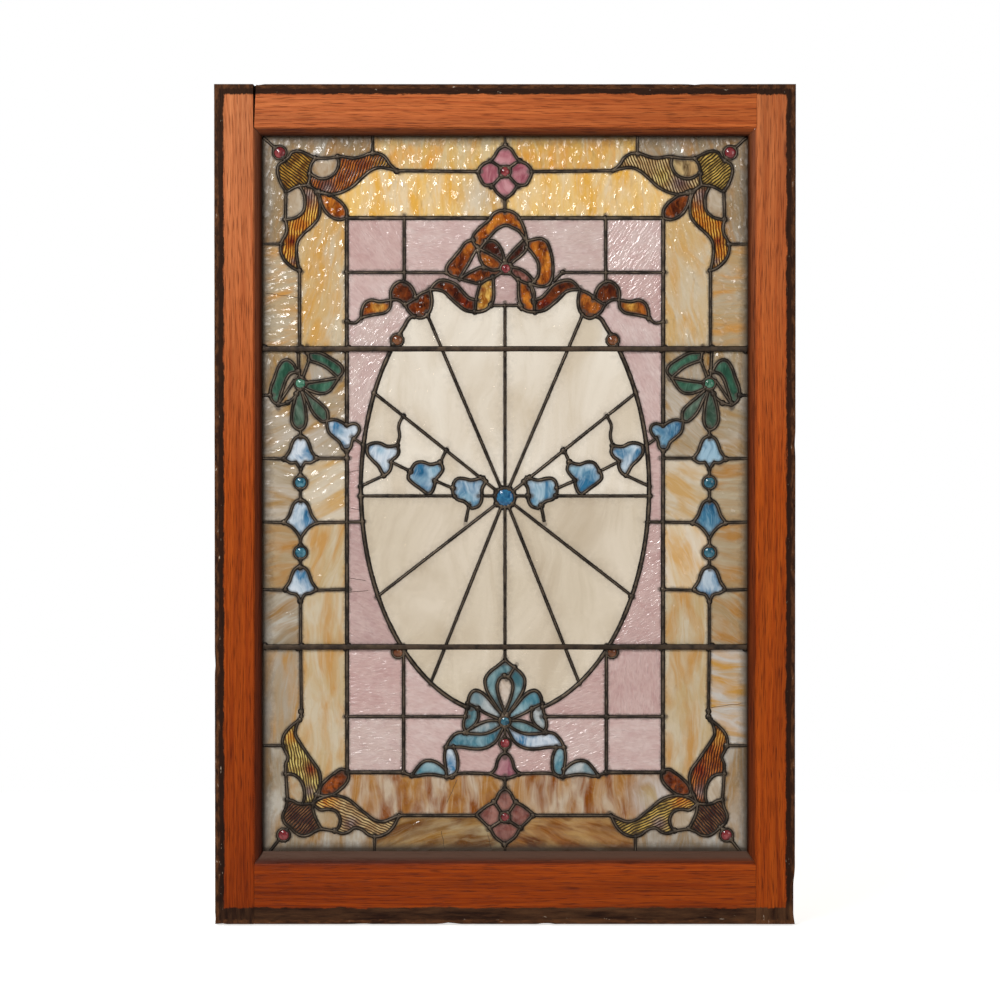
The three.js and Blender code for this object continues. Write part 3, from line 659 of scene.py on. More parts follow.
def one_pane(piece, x, z, sheet, **settings):
    """Glass at a signed place, on one side only."""
    return pane(piece, abs(x), z, sheet, sides=(-1 if x < 0 else 1,), **settings)


def amber_panes():
    amber = functools.partial(pane, "amber_background_glass")
    return [
        amber(84, 980, "honey"),
        amber(95, 927, "pale honey", spots=((-24, 930, 56, "cream"),), sides=(-1,)),
        amber(95, 927, "pale honey", sides=(1,)),
        amber(232, 800, "straw", turn=14),
        amber(286, 790, "old straw", turn=84),
        amber(292, 630, "pearl", turn=70),
        amber(225, 652, "pearl", turn=50),
        amber(272, 692, "driftwood"),
        amber(240, 703, "driftwood"),
        amber(257, 715, "molasses"),
        amber(222, 552, "cream", turn=60),
        amber(296, 552, "pearl", "umber", turn=84),
        amber(222, 463, "sand", "pale sand", turn=20),
        amber(296, 463, "umber", turn=80),
        amber(222, 387, "sand"),
        amber(296, 387, "dusk", "umber", turn=60),
        amber(229, 285, "sand"),
        amber(286, 298, "driftwood", turn=4, sides=(-1,)),
        amber(286, 298, "banded", turn=82, sides=(1,)),
        amber(95, 158, "toffee", sides=(-1,)),
        amber(95, 158, "toffee", spots=((186, 160, 44, "moonstone"),), sides=(1,)),
        amber(95, 114, "molasses", "treacle", turn=74),
        amber(296, 930, "smoke", turn=10),
        amber(300, 150, "dusk", "night"),
        amber(210, 110, "dusk", "night"),
    ]


def pink_panes():
    pink = functools.partial(pane, "pink_background_glass")
    return [
        pink(165, 863, "rose", "pale rose", turn=52),
        pink(100, 863, "pale rose", "shell", turn=6),
        pink(185, 800, "pale rose", "rose", turn=40),
        pink(92, 819, "mauve", "rose", turn=64, sides=(-1,)),
        pink(185, 690, "shell", "pale rose", turn=-60),
        pink(190, 425, "mauve", "rose", turn=25),
        pink(165, 298, "rose", sides=(-1,)),
        pink(165, 298, "rose", turn=88, sides=(1,)),
        pink(120, 285, "pale rose", "rose", turn=12),
        pink(165, 228, "shell", "pale rose"),
        pink(100, 228, "pale rose", turn=20),
        pink(45, 215, "rose", turn=20),
        pink(0, 875, "shell", sides=(1,)),
        pink(40, 840, "shell", sides=(-1,)),
        pink(0, 805, "mauve", sides=(1,)),
        pink(30, 842, "shell", sides=(1,)),
    ]


def clear_panes():
    clear = functools.partial(pane, "clear_oval_glass")
    return [
        clear(108, 690, "clear"),
        clear(32, 690, "clear"),
        clear(121, 500, "smoky clear"),
        clear(95, 425, "smoky clear"),
        clear(32, 412, "smoky clear"),
    ]


def striped_panes():
    striped = functools.partial(pane, "striped_glass")
    return [
        striped(262, 960, "tiger", "olive tiger", turn=-51),
        striped(190, 960, "rust", turn=20,
                spots=((-150, 966, 26, "tiger"), (-226, 936, 14, "plum")), sides=(-1,)),
        striped(190, 960, "biscuit", turn=20,
                spots=((222, 942, 22, "plum"), (200, 950, 18, "brass")), sides=(1,)),
        striped(262, 133, "walnut", turn=42),
        striped(180, 130, "biscuit", "olive tiger", turn=-65,
                spots=((226, 156, 24, "flame"), (196, 126, 16, "plum"))),
        striped(263, 210, "brass", "rust", turn=-10,
                spots=((272, 238, 15, "amber"), (247, 196, 17, "wine"), (250, 168, 14, "plum"))),
        striped(268, 883, "flame", turn=6,
                spots=((250, 926, 26, "plum"), (271, 868, 12, "wine"), (268, 842, 9, "plum"))),
    ]


def fiery_panes():
    fiery = functools.partial(pane, "fiery_glass")
    return [
        fiery(218, 911, "ember", "coal"),
        fiery(218, 178, "coal"),
        fiery(27, 800, "amber", "ember", spots=((28, 806, 9, "coal"),)),
        fiery(110, 788, "coal", "rust"),
        fiery(62, 800, "chestnut", spots=((50, 790, 12, "wine"),)),
        fiery(163, 783, "ember", "rust", spots=((160, 784, 12, "amber"),)),
        fiery(130, 803, "chestnut"),
        one_pane("fiery_glass", 0, 897, "ember"),
        one_pane("fiery_glass", 17, 856, "garnet"),
        one_pane("fiery_glass", -14, 857, "garnet"),
        one_pane("fiery_glass", -20, 842, "rust"),
        one_pane("fiery_glass", -57, 845, "coal", spots=((-48, 862, 16, "ember"),)),
        one_pane("fiery_glass", -30, 825, "coal"),
        one_pane("fiery_glass", 50, 845, "ember", spots=((46, 866, 14, "coal"),)),
        one_pane("fiery_glass", 20, 825, "old rose"),
    ]


def opal_panes():
    opal = functools.partial(pane, "opal_glass")
    single = functools.partial(one_pane, "opal_glass")
    return [
        opal(228, 960, "oyster", "biscuit"),
        opal(268, 918, "oyster"),
        opal(268, 172, "umber", "oyster"),
        opal(225, 131, "umber", "oyster"),
        opal(287, 695, "green"),
        opal(270, 671, "sage"),
        opal(230, 717, "green"),
        opal(235, 682, "green"),
        opal(262, 650, "sage"),
        opal(238, 655, "sage"),
        opal(260, 597, "ice", "blue"),
        opal(260, 512, "ice", "deep blue", spots=((253, 522, 10, "blue"),)),
        opal(260, 430, "ice"),
        opal(205, 622, "ice", "blue", spots=((210, 626, 9, "blue"),)),
        opal(152, 598, "ice", "mist", spots=((158, 602, 9, "blue"),)),
        opal(100, 570, "mist", spots=((106, 572, 12, "blue"),)),
        opal(48, 552, "mist"),
        opal(17, 300, "slate"),
        opal(34, 283, "dove", "lagoon"),
        opal(43, 264, "slate", "dove"),
        opal(25, 250, "dove", "slate"),
        opal(45, 232, "lagoon", "ice"),
        opal(68, 205, "ice", "lagoon"),
        opal(97, 197, "lagoon", "dove"),
        opal(20, 955, "peony"),
        opal(25, 137, "old rose"),
        single(0, 975, "peony"),
        single(0, 936, "peony"),
        single(0, 156, "old rose"),
        single(0, 115, "old rose"),
        single(0, 200, "orchid"),
        single(0, 295, "milk"),
    ]


def all_panes():
    return [
        *amber_panes(), *pink_panes(), *clear_panes(), *striped_panes(), *fiery_panes(),
        *opal_panes(),
    ]


# Hairline cracks in the glass, from end to end.
CRACKS = [
    ((-305, 802), (-263, 796)), ((-61, 183), (-74, 152)), ((-81, 117), (-77, 95)),
    ((-22, 114), (-18, 95)), ((259, 274), (309, 281)), ((-200, 574), (-182, 577)),
    ((-200, 529), (-182, 526)), ((-199, 440), (-177, 436)), ((-199, 421), (-174, 424)),
]

# Jewels: distance from the middle, height, radius and glass.
JEWELS = [
    (286, 980, 8.3, "ruby"), (282, 112, 8.0, "ruby"),
    (137, 742, 7.8, "topaz"), (136, 345, 7.4, "topaz"),
    (260, 561, 8.2, "teal"), (260, 472, 8.2, "teal"), (260, 687, 7.6, "emerald"),
    (0, 956, 7.2, "ruby"), (0, 135, 6.6, "ruby"), (1, 833, 7.0, "ruby"),
    (0, 257, 7.2, "teal"), (0, 229, 7.2, "ruby"), (0, HUB_Z, HUB_RADIUS, "sapphire"),
]
JEWEL_COLOURS = {
    "ruby": ((120, 34, 40), (64, 16, 22), (172, 84, 84)),
    "topaz": ((112, 62, 36), (66, 34, 20), (160, 108, 72)),
    "teal": ((30, 88, 108), (12, 52, 70), (96, 150, 166)),
    "emerald": ((50, 108, 84), (26, 70, 52), (110, 156, 132)),
    "sapphire": ((10, 84, 130), (4, 50, 92), (72, 138, 172)),
}


# ---------------------------------------------------------------- glass cut to the leading

GLASS_FRONT = box_mm("clear_pane_middle_left")[0].y
GLASS_BACK = box_mm("clear_pane_middle_left")[1].y
PARTING = 0.7  # each pane stops this far from the centre line of its cames
SMALLEST = 8.0  # square millimetres; a smaller cell is filled with solder
CM = 0.1  # patterns in the glass are scaled in centimetres
NEIGHBOURS = 12  # triangles tried round a place
RIM = 4.0  # the relief of a pane fades out this near to the leading
RIGHT_SHADE, SILL_SHADE = 1.25, 1.5  # dirt and painted shade along the sash reach less far there, by this factor


def linear(colour):
    """Red, green and blue out of 255 as linear light."""
    return [((c / 255 + 0.055) / 1.055) ** 2.4 if c > 10 else c / 3294 for c in colour]


def finder():
    """A function that gives the cell round a place."""
    corners, triangles, _, cell_of, _ = arrangement()
    tree = tree_of([centre_of(t, corners) for t in triangles])

    def cell_at(x, z):
        here = Vector((x, z))
        for _, t, _ in tree.find_n(Vector((x, z, 0)), NEIGHBOURS):
            a, b, c = (corners[i] for i in triangles[t])
            turns = [(b - a).cross(here - a), (c - b).cross(here - b), (a - c).cross(here - c)]
            if min(turns) >= 0 or max(turns) <= 0:
                return cell_of[t]
        return cell_of[tree.find(Vector((x, z, 0)))[1]]

    return cell_at


def background_at(place):
    """The glass that fills a place which no pane of its own takes."""
    x, z = abs(place.x), place.y
    if x > INNER_SIDE or not INNER_BOTTOM < z < INNER_TOP:
        return pane("amber_background_glass", x, z, "pearl")
    if math.hypot(x / OVAL_X, (z - OVAL_MIDDLE) / OVAL_Z) < 1:
        return pane("clear_oval_glass", x, z, "clear")
    return pane("pink_background_glass", x, z, "rose")


@functools.lru_cache(maxsize=None)
def cells_by_piece():
    """Every cell with its pane and side, under the name of the piece that it belongs to."""
    corners, triangles, cells, _, _ = arrangement()
    cell_at = finder()
    jewel_cells = {cell_at(side * x, z) for x, z, _, _ in JEWELS for side in (-1, 1)}
    held = {}
    for one in all_panes():
        for side in one["sides"]:
            cell = cell_at(side * one["x"], one["z"])
            if cell not in jewel_cells:
                held.setdefault(cell, (one, side))
    middles = {}
    for cell, members in enumerate(cells):
        middles[cell] = sum((centre_of(triangles[t], corners) for t in members), Vector((0, 0)))
        middles[cell] /= len(members)
    pieces = {}
    for cell, members in enumerate(cells):
        area = sum(triangle_area(triangles[t], corners) for t in members)
        if cell in jewel_cells or area < SMALLEST:
            continue
        if cell not in held:
            held[cell] = background_at(middles[cell]), -1 if middles[cell].x < 0 else 1
        one, side = held[cell]
        pieces.setdefault(one["piece"], []).append((members, one, side, middles[cell]))
    return pieces


def mixed(first, second, share):
    return [a + (b - a) * share for a, b in zip(first, second)]


def tones_at(x, z, one, side):
    """Body, streak and pale colour of a pane where it is x from the middle at height z."""
    tones = [linear(tone) for tone in SHEETS[one["sheets"][side]]]
    across = x if len(one["sides"]) == 1 else side * x
    for spot_x, spot_z, radius, name in one["spots"]:
        share = max(0.0, 1 - math.hypot(across - spot_x, z - spot_z) / radius)
        share = share * share * (3 - 2 * share)
        tones = [mixed(a, linear(b), share) for a, b in zip(tones, SHEETS[name])]
    return [(*tone, 1.0) for tone in tones]


def swell(u, v, w, across, along):
    """Smooth hills, so many to the centimetre each way."""
    return noise.noise(Vector((u * across, v * along, w)))


def hammered(u, v, w):
    return 0.34 * swell(u, v, w, 0.55, 0.3) + 0.16 * swell(u, v, w + 9, 1.5, 0.8)


def rippled(u, v, w):
    bend = v + 0.5 * swell(u, v, w, 0.3, 0.3)
    return 0.16 * swell(u, bend, w, 0.25, 0.9) + 0.12 * swell(u, bend, w + 9, 0.5, 1.8)


def drawn(u, v, w):
    return 0.2 * swell(u, v, w, 0.3, 0.15) + 0.06 * swell(u, v, w + 9, 0.9, 0.5)


def grooved(u, v, w):
    return 0.25 * swell(u, v, w, 0.9, 0.4)


def rolled(u, v, w):
    return 0.3 * swell(u, v, w, 0.7, 0.7)


def smooth(bm):
    for face in bm.faces:
        face.smooth = True


def object_of(bm, name, material):
    """Finishes a bmesh that is in millimetres as an object in metres."""
    bmesh.ops.scale(bm, vec=(MM, MM, MM), verts=bm.verts)
    mesh = bpy.data.meshes.new(name)
    bm.to_mesh(mesh)
    bm.free()
    mesh.materials.append(material)
    piece = bpy.data.objects.new(name, mesh)
    bpy.context.scene.collection.objects.link(piece)
    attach(piece, "root")
    return piece


def cut_glass(name, relief, depth, material, seed):
    """All panes of one piece, cut to the leading, with the relief of their front face."""
    corners, triangles, _, _, _ = arrangement()
    lines, _ = cutting_lines()
    edge_tree = tree_of(lines)
    dice = random.Random(seed)
    bm = bmesh.new()
    layers = bm.verts.layers
    sheet = layers.float_vector.new("sheet")
    tones = [layers.float_color.new(tone) for tone in ("body", "streak", "pale")]
    margin = layers.float.new("margin")
    sight = layers.float.new("sight")
    for members, one, side, middle in cells_by_piece()[name]:
        turn = Matrix.Rotation(-side * math.radians(one["turn"]), 2)
        start = Vector((dice.uniform(0, 90), dice.uniform(0, 90)))
        slice_at = dice.uniform(0, 90)
        made = {}
        for t in members:
            for i in triangles[t]:
                if i in made:
                    continue
                x, z = corners[i]
                vert = bm.verts.new((x, GLASS_FRONT, z))
                u, v = turn @ (corners[i] - middle) * CM + start
                vert[sheet] = (u, v, slice_at)
                for layer, tone in zip(tones, tones_at(x, z, one, side)):
                    vert[layer] = tone
                vert[margin] = edge_tree.find(Vector((x, z, 0)))[2]
                # Distance to the sight edges of the sash, which sets the painted shade and dirt along it.
                vert[sight] = min(
                    SIGHT_SIDE + x, SIGHT_TOP - z, RIGHT_SHADE * (SIGHT_SIDE - x),
                    SILL_SHADE * (z - SIGHT_BOTTOM - SILL_DIRT_AND_SHADE))
                made[i] = vert
        for t in members:
            bm.faces.new([made[i] for i in triangles[t]])
    rim = bmesh.ops.inset_region(bm, faces=bm.faces[:], thickness=PARTING, use_boundary=True)
    bmesh.ops.delete(bm, geom=rim["faces"], context="FACES")
    for vert in bm.verts:
        u, v, w = vert[sheet]
        rise = min(1.0, vert[margin] / RIM)
        vert.co.y = GLASS_FRONT + depth * relief(u, v, w) * rise
    body = bmesh.ops.extrude_face_region(bm, geom=bm.faces[:])
    back = [item for item in body["geom"] if isinstance(item, bmesh.types.BMVert)]
    for vert in back:
        vert.co.y = GLASS_BACK
    bmesh.ops.recalc_face_normals(bm, faces=bm.faces)
    smooth_by_angle(bm, 40)
    flat = set(back)
    rear = [e for e in bm.edges if e.verts[0] in flat and e.verts[1] in flat]
    bmesh.ops.dissolve_limit(bm, angle_limit=0.01, use_dissolve_boundaries=False,
                             verts=back, edges=rear, delimit={"NORMAL"})
    return object_of(bm, name, material)


# ---------------------------------------------------------------- shader helpers


def put(tree, kind, inputs=None, **settings):
    """A node with its settings, its values and its links."""
    node = tree.nodes.new(kind)
    for name, value in settings.items():
        setattr(node, name, value)
    for key, value in (inputs or {}).items():
        if isinstance(value, bpy.types.NodeSocket):
            tree.links.new(value, node.inputs[key])
        else:
            node.inputs[key].default_value = value
    return node


def maths(tree, operation, a, b=0.0, c=0.0):
    node = put(tree, "ShaderNodeMath", {0: a, 1: b, 2: c}, operation=operation)
    return node.outputs[0]


def span(tree, value, low, high, to_low=0.0, to_high=1.0):
    """Moves a value from one range to another, and keeps it there."""
    node = put(tree, "ShaderNodeMapRange", {
        "Value": value, "From Min": low, "From Max": high, "To Min": to_low, "To Max": to_high,
    })
    return node.outputs[0]


def blend(tree, share, a, b, mode="MIX"):
    node = put(tree, "ShaderNodeMix", {0: share, 6: a, 7: b}, data_type="RGBA", blend_type=mode)
    return node.outputs[2]


def stretched(tree, vector, scale, turn=(0, 0, 0), shift=(0, 0, 0)):
    node = put(tree, "ShaderNodeMapping", {
        "Vector": vector, "Scale": scale, "Rotation": turn, "Location": shift,
    })
    return node.outputs[0]


def cloud(tree, vector, scale, detail=3.0, roughness=0.5, distortion=0.0):
    node = put(tree, "ShaderNodeTexNoise", {
        "Vector": vector, "Scale": scale, "Detail": detail, "Roughness": roughness,
        "Distortion": distortion,
    })
    return node.outputs[0]


def object_place(tree):
    return put(tree, "ShaderNodeTexCoord").outputs["Object"]


def object_facing(tree):
    return put(tree, "ShaderNodeTexCoord").outputs["Normal"]


def axes_of(tree, vector):
    return put(tree, "ShaderNodeSeparateXYZ", {0: vector}).outputs


def attribute(tree, name, output):
    node = put(tree, "ShaderNodeAttribute", attribute_name=name, attribute_type="GEOMETRY")
    return node.outputs[output]


def new_group(name, inputs, outputs):
    """An empty shader group: its tree, and the sockets that feed it."""
    tree = bpy.data.node_groups.new(name, "ShaderNodeTree")
    for label, kind, value in inputs:
        socket = tree.interface.new_socket(label, in_out="INPUT", socket_type="NodeSocket" + kind)
        if value is not None:
            socket.default_value = value
    for label, kind in outputs:
        tree.interface.new_socket(label, in_out="OUTPUT", socket_type="NodeSocket" + kind)
    return tree, tree.nodes.new("NodeGroupInput").outputs


def close_group(tree, values):
    put(tree, "NodeGroupOutput", values)
    return tree


def use(tree, group, inputs):
    return put(tree, "ShaderNodeGroup", inputs, node_tree=group).outputs


def rgb(*colour):
    return (*linear(colour), 1.0)


# ---------------------------------------------------------------- effects shared by materials


@functools.lru_cache(maxsize=None)
def streaky_glass():
    """Wisps of a darker and a paler colour drawn through the body of a sheet."""
    tree, given = new_group("Streaky glass", [
        ("Sheet", "Vector", None), ("Body", "Color", None), ("Streak", "Color", None),
        ("Pale", "Color", None), ("Across", "Float", 0.7), ("Along", "Float", 0.2),
        ("Strength", "Float", 1.0),
    ], [("Color", "Color"), ("Wisps", "Float")])
    place = scaled(tree, given["Sheet"], given["Across"], given["Along"])
    swirl = put(tree, "ShaderNodeTexNoise", {"Vector": place, "Scale": 0.7, "Detail": 2.0})
    swirl = put(tree, "ShaderNodeVectorMath", {0: swirl.outputs["Color"], 1: (0.5, 0.5, 0.5)},
                operation="SUBTRACT").outputs[0]
    wisp = put(tree, "ShaderNodeVectorMath", {0: swirl, 1: (1.6, 1.6, 1.6), 2: place},
               operation="MULTIPLY_ADD").outputs[0]
    first = cloud(tree, wisp, 1.0, 3.0, 0.45)
    second = cloud(tree, stretched(tree, wisp, (1.3, 1.1, 1.0), shift=(7, 3, 5)), 1.0, 3.0, 0.45)
    threads = cloud(tree, stretched(tree, wisp, (6.0, 1.6, 1.0), shift=(2, 9, 4)), 1.0, 3.0, 0.6)
    light = maths(tree, "MULTIPLY", span(tree, first, 0.4, 0.62), given["Strength"])
    dark = maths(tree, "MULTIPLY", span(tree, second, 0.46, 0.66), given["Strength"])
    colour = blend(tree, light, given["Body"], given["Pale"])
    colour = blend(tree, dark, colour, given["Streak"])
    weight = maths(tree, "MULTIPLY", given["Strength"], 0.45)
    darker = maths(tree, "MULTIPLY", span(tree, threads, 0.5, 0.72), weight)
    colour = blend(tree, darker, colour, given["Streak"])
    paler = maths(tree, "MULTIPLY", span(tree, threads, 0.5, 0.3), weight)
    colour = blend(tree, paler, colour, given["Pale"])
    return close_group(tree, {"Color": colour, "Wisps": dark})


@functools.lru_cache(maxsize=None)
def edge_dirt_and_shade():
    """Old putty and dirt, with painted shade, on the glass along the leads, and painted shade, with some
    dirt, along the sash.
    """
    tree, given = new_group("Edge grime", [
        ("Color", "Color", None), ("Sheet", "Vector", None), ("Margin", "Float", 9.0),
        ("Sight", "Float", 99.0), ("Grime and shade", "Color", rgb(58, 44, 30)), ("Reach", "Float", 2.6),
        ("Strength", "Float", 0.6),
    ], [("Color", "Color"), ("Dirt and shade", "Float")])
    patchy = cloud(tree, given["Sheet"], 1.6, 4.0, 0.65)
    patchy = span(tree, patchy, 0.3, 0.7, 0.3, 1.7)
    # Along the leads: dirt and painted shade, with a ragged dark fringe against the lead.
    near = maths(tree, "SUBTRACT", given["Margin"], 2.3)
    near = maths(tree, "DIVIDE", near, maths(tree, "MULTIPLY", given["Reach"], patchy))
    dirt = maths(tree, "SUBTRACT", 1.0, span(tree, near, 0.0, 1.0))
    dirt = maths(tree, "MULTIPLY", maths(tree, "POWER", dirt, 1.5), given["Strength"])
    bristle = cloud(tree, given["Sheet"], 5.0, 3.0, 0.7)
    bristle = span(tree, bristle, 0.42, 0.66, 0.35, 2.4)
    fringe = maths(tree, "DIVIDE", maths(tree, "SUBTRACT", given["Margin"], 2.0), bristle)
    dirt = maths(tree, "MAXIMUM", dirt, span(tree, fringe, 0.55, 1.0, 0.8, 0.0))
    # Along the sash: painted shade, with some dirt, strongest at its sight edges.
    even = maths(tree, "MULTIPLY_ADD", patchy, 0.4, 0.6)
    corner = maths(tree, "DIVIDE", given["Sight"], maths(tree, "MULTIPLY", 17.0, even))
    corner = maths(tree, "SUBTRACT", 1.0, span(tree, corner, 0.0, 1.0))
    corner = maths(tree, "MULTIPLY", maths(tree, "POWER", corner, 1.3), 0.94)
    dirt = maths(tree, "MAXIMUM", dirt, corner)
    colour = blend(tree, dirt, given["Color"], given["Grime and shade"])
    return close_group(tree, {"Color": colour, "Dirt and shade": dirt})


@functools.lru_cache(maxsize=None)
def rolled_texture():
    """Height of the dimples and ripples left by the roller."""
    tree, given = new_group("Rolled texture", [
        ("Sheet", "Vector", None), ("Across", "Float", 1.6), ("Along", "Float", 1.0),
        ("Waver", "Float", 0.3), ("Dimples", "Float", 1.0),
    ], [("Height", "Float")])
    place = scaled(tree, given["Sheet"], given["Across"], given["Along"])
    drift = put(tree, "ShaderNodeTexNoise", {"Vector": place, "Scale": 0.8, "Detail": 1.0})
    drift = put(tree, "ShaderNodeVectorMath", {0: drift.outputs["Color"], "Scale": given["Waver"]},
                operation="SCALE").outputs[0]
    bent = put(tree, "ShaderNodeVectorMath", {0: place, 1: drift}, operation="ADD").outputs[0]
    cells = put(tree, "ShaderNodeTexVoronoi", {"Vector": bent, "Scale": 1.0, "Randomness": 0.85},
                voronoi_dimensions="2D").outputs["Distance"]
    bowl = maths(tree, "MULTIPLY", cells, cells)
    uneven = span(tree, cloud(tree, place, 0.35, 1.0), 0.35, 0.65, 0.3, 1.3)
    bowl = maths(tree, "MULTIPLY", maths(tree, "MULTIPLY", bowl, uneven), given["Dimples"])
    waves = cloud(tree, bent, 1.1, 2.0, 0.45)
    return close_group(tree, {"Height": maths(tree, "ADD", bowl, waves)})


def scaled(tree, vector, across, along):
    scale = put(tree, "ShaderNodeCombineXYZ", {"X": across, "Y": along, "Z": 1.0}).outputs[0]
    return put(tree, "ShaderNodeVectorMath", {0: vector, 1: scale}, operation="MULTIPLY").outputs[0]


def sheet_colour(tree, across, along, strength=1.0):
    """The streaks of a piece from the three colours kept on its points."""
    return use(tree, streaky_glass(), {
        "Sheet": attribute(tree, "sheet", "Vector"), "Body": attribute(tree, "body", "Color"),
        "Streak": attribute(tree, "streak", "Color"), "Pale": attribute(tree, "pale", "Color"),
        "Across": across, "Along": along, "Strength": strength,
    })["Color"]


def dirty(tree, colour, reach, strength, grime_and_shade=(58, 44, 30)):
    """Old putty, dirt and painted shade on the front of a pane; its back, which the points do not follow,
    has none of them.
    """
    deep = axes_of(tree, object_place(tree))["Y"]
    behind = span(tree, deep, (GLASS_BACK - 0.6) * MM, (GLASS_BACK - 0.3) * MM, 0.0, CLEAR_OF_DIRT_AND_SHADE)
    return use(tree, edge_dirt_and_shade(), {
        "Color": colour, "Sheet": attribute(tree, "sheet", "Vector"),
        "Margin": maths(tree, "ADD", attribute(tree, "margin", "Fac"), behind),
        "Sight": maths(tree, "ADD", attribute(tree, "sight", "Fac"), behind),
        "Grime and shade": rgb(*grime_and_shade), "Reach": reach, "Strength": strength,
    })


def relief_of(tree, height, depth):
    """The normal of a fine relief, its depth in millimetres."""
    return put(tree, "ShaderNodeBump", {"Height": height, "Distance": depth * MM}).outputs[0]


def glass_material(name, texture, depth, across=0.7, along=0.2, strength=1.0, roughness=0.07,
                   reach=3.0, dirt=0.75, clear=0.0, ripple=0.0, shine=0.5, calm=1.0):
    """Rolled glass: its streaks, its texture, and the dirt and painted shade round its edge.

    The texture is its dimples across and along, their waver and their share. Depth is in
    millimetres, and calm is the share of it left in the lower half of the window.
    """
    material, tree, shader = new_material(name)
    colour = sheet_colour(tree, across, along, strength)
    dimples = use(tree, rolled_texture(), {
        "Sheet": attribute(tree, "sheet", "Vector"), "Across": texture[0], "Along": texture[1],
        "Waver": texture[2], "Dimples": texture[3]})
    # Painted shade: the colour sinks toward the streak colour in the low parts of the relief, by the
    # ripple share.
    hollow_shade = span(tree, dimples["Height"], 0.35, 0.75, ripple, 0.0)
    colour = blend(tree, hollow_shade, colour, attribute(tree, "streak", "Color"), "MULTIPLY")
    # Dirt and painted shade along the leads and the sash.
    grime_and_shade = dirty(tree, colour, reach, dirt)
    rough = maths(tree, "MULTIPLY_ADD", grime_and_shade["Dirt and shade"], 0.5, roughness)
    level = axes_of(tree, object_place(tree))["Z"]
    height = maths(tree, "MULTIPLY", dimples["Height"], span(tree, level, 0.5, 0.85, calm, 1.0))
    link_all(tree, shader, {
        "Base Color": grime_and_shade["Color"], "Roughness": rough,
        "Normal": relief_of(tree, height, depth)})
    shader.inputs["IOR"].default_value = 1.5
    shader.inputs["Specular IOR Level"].default_value = shine
    shader.inputs["Transmission Weight"].default_value = clear
    return material


def striped_material(name, depth):
    """Glass with fine grooves across it, dark between bright."""
    material, tree, shader = new_material(name)
    sheet = attribute(tree, "sheet", "Vector")
    waves = put(tree, "ShaderNodeTexWave", {
        "Vector": sheet, "Scale": 0.95, "Distortion": 5.5, "Detail": 2.0, "Detail Scale": 0.55,
    }, wave_type="BANDS", bands_direction="X").outputs["Fac"]
    patches = cloud(tree, sheet, 0.8, 3.0, 0.6)
    bright = blend(tree, span(tree, patches, 0.42, 0.6), attribute(tree, "body", "Color"),
                   attribute(tree, "pale", "Color"))
    colour = blend(tree, span(tree, waves, 0.3, 0.8), attribute(tree, "streak", "Color"), bright)
    # Dirt and painted shade along the leads and the sash.
    grime_and_shade = dirty(tree, colour, 2.0, 0.6)
    link_all(tree, shader, {
        "Base Color": grime_and_shade["Color"], "Normal": relief_of(tree, waves, depth)})
    shader.inputs["Roughness"].default_value = 0.12
    shader.inputs["Specular IOR Level"].default_value = 0.35
    return material


def new_material(name):
    material = bpy.data.materials.new(name)
    material.use_nodes = True
    tree = material.node_tree
    return material, tree, tree.nodes["Principled BSDF"]


def link_all(tree, shader, values):
    for name, value in values.items():
        tree.links.new(value, shader.inputs[name])


def jewel_material():
    material, tree, shader = new_material("jewel glass")
    dimples = use(tree, rolled_texture(), {
        "Sheet": attribute(tree, "sheet", "Vector"), "Across": 1.6, "Along": 1.6, "Dimples": 0.1})
    link_all(tree, shader, {
        "Base Color": sheet_colour(tree, 1.0, 1.0, 0.7),
        "Normal": relief_of(tree, dimples["Height"], 0.1)})
    shader.inputs["Roughness"].default_value = 0.08
    return material


def metal_material(name, body, dull, bright, roughness, crown_wear_and_highlight):
    """Old soft metal: dull and dirty, and brighter along its crown, partly worn bright and partly a
    painted highlight.
    """
    material, tree, shader = new_material(name)
    place = object_place(tree)
    front = axes_of(tree, object_facing(tree))["Y"]
    # Painted highlight, with some worn metal: faces turned to the front are lightened toward the bright
    # colour, in patches.
    crown = span(tree, maths(tree, "MULTIPLY", front, -1.0), 0.86, 1.0)
    mottle = cloud(tree, place, 190.0, 4.0, 0.65)
    patches = cloud(tree, place, 60.0, 4.0, 0.65)
    colour = blend(tree, span(tree, mottle, 0.4, 0.6), rgb(*dull), rgb(*body))
    shine = maths(tree, "MULTIPLY", crown, span(tree, patches, 0.4, 0.6, 0.08, crown_wear_and_highlight))
    colour = blend(tree, shine, colour, rgb(*bright))
    rough = span(tree, mottle, 0.3, 0.7, roughness + 0.12, roughness - 0.08)
    normal = put(tree, "ShaderNodeBump", {
        "Height": mottle, "Distance": 0.15 * MM, "Strength": 0.6}).outputs[0]
    link_all(tree, shader, {"Base Color": colour, "Roughness": rough, "Normal": normal})
    shader.inputs["Metallic"].default_value = 0.6
    return material


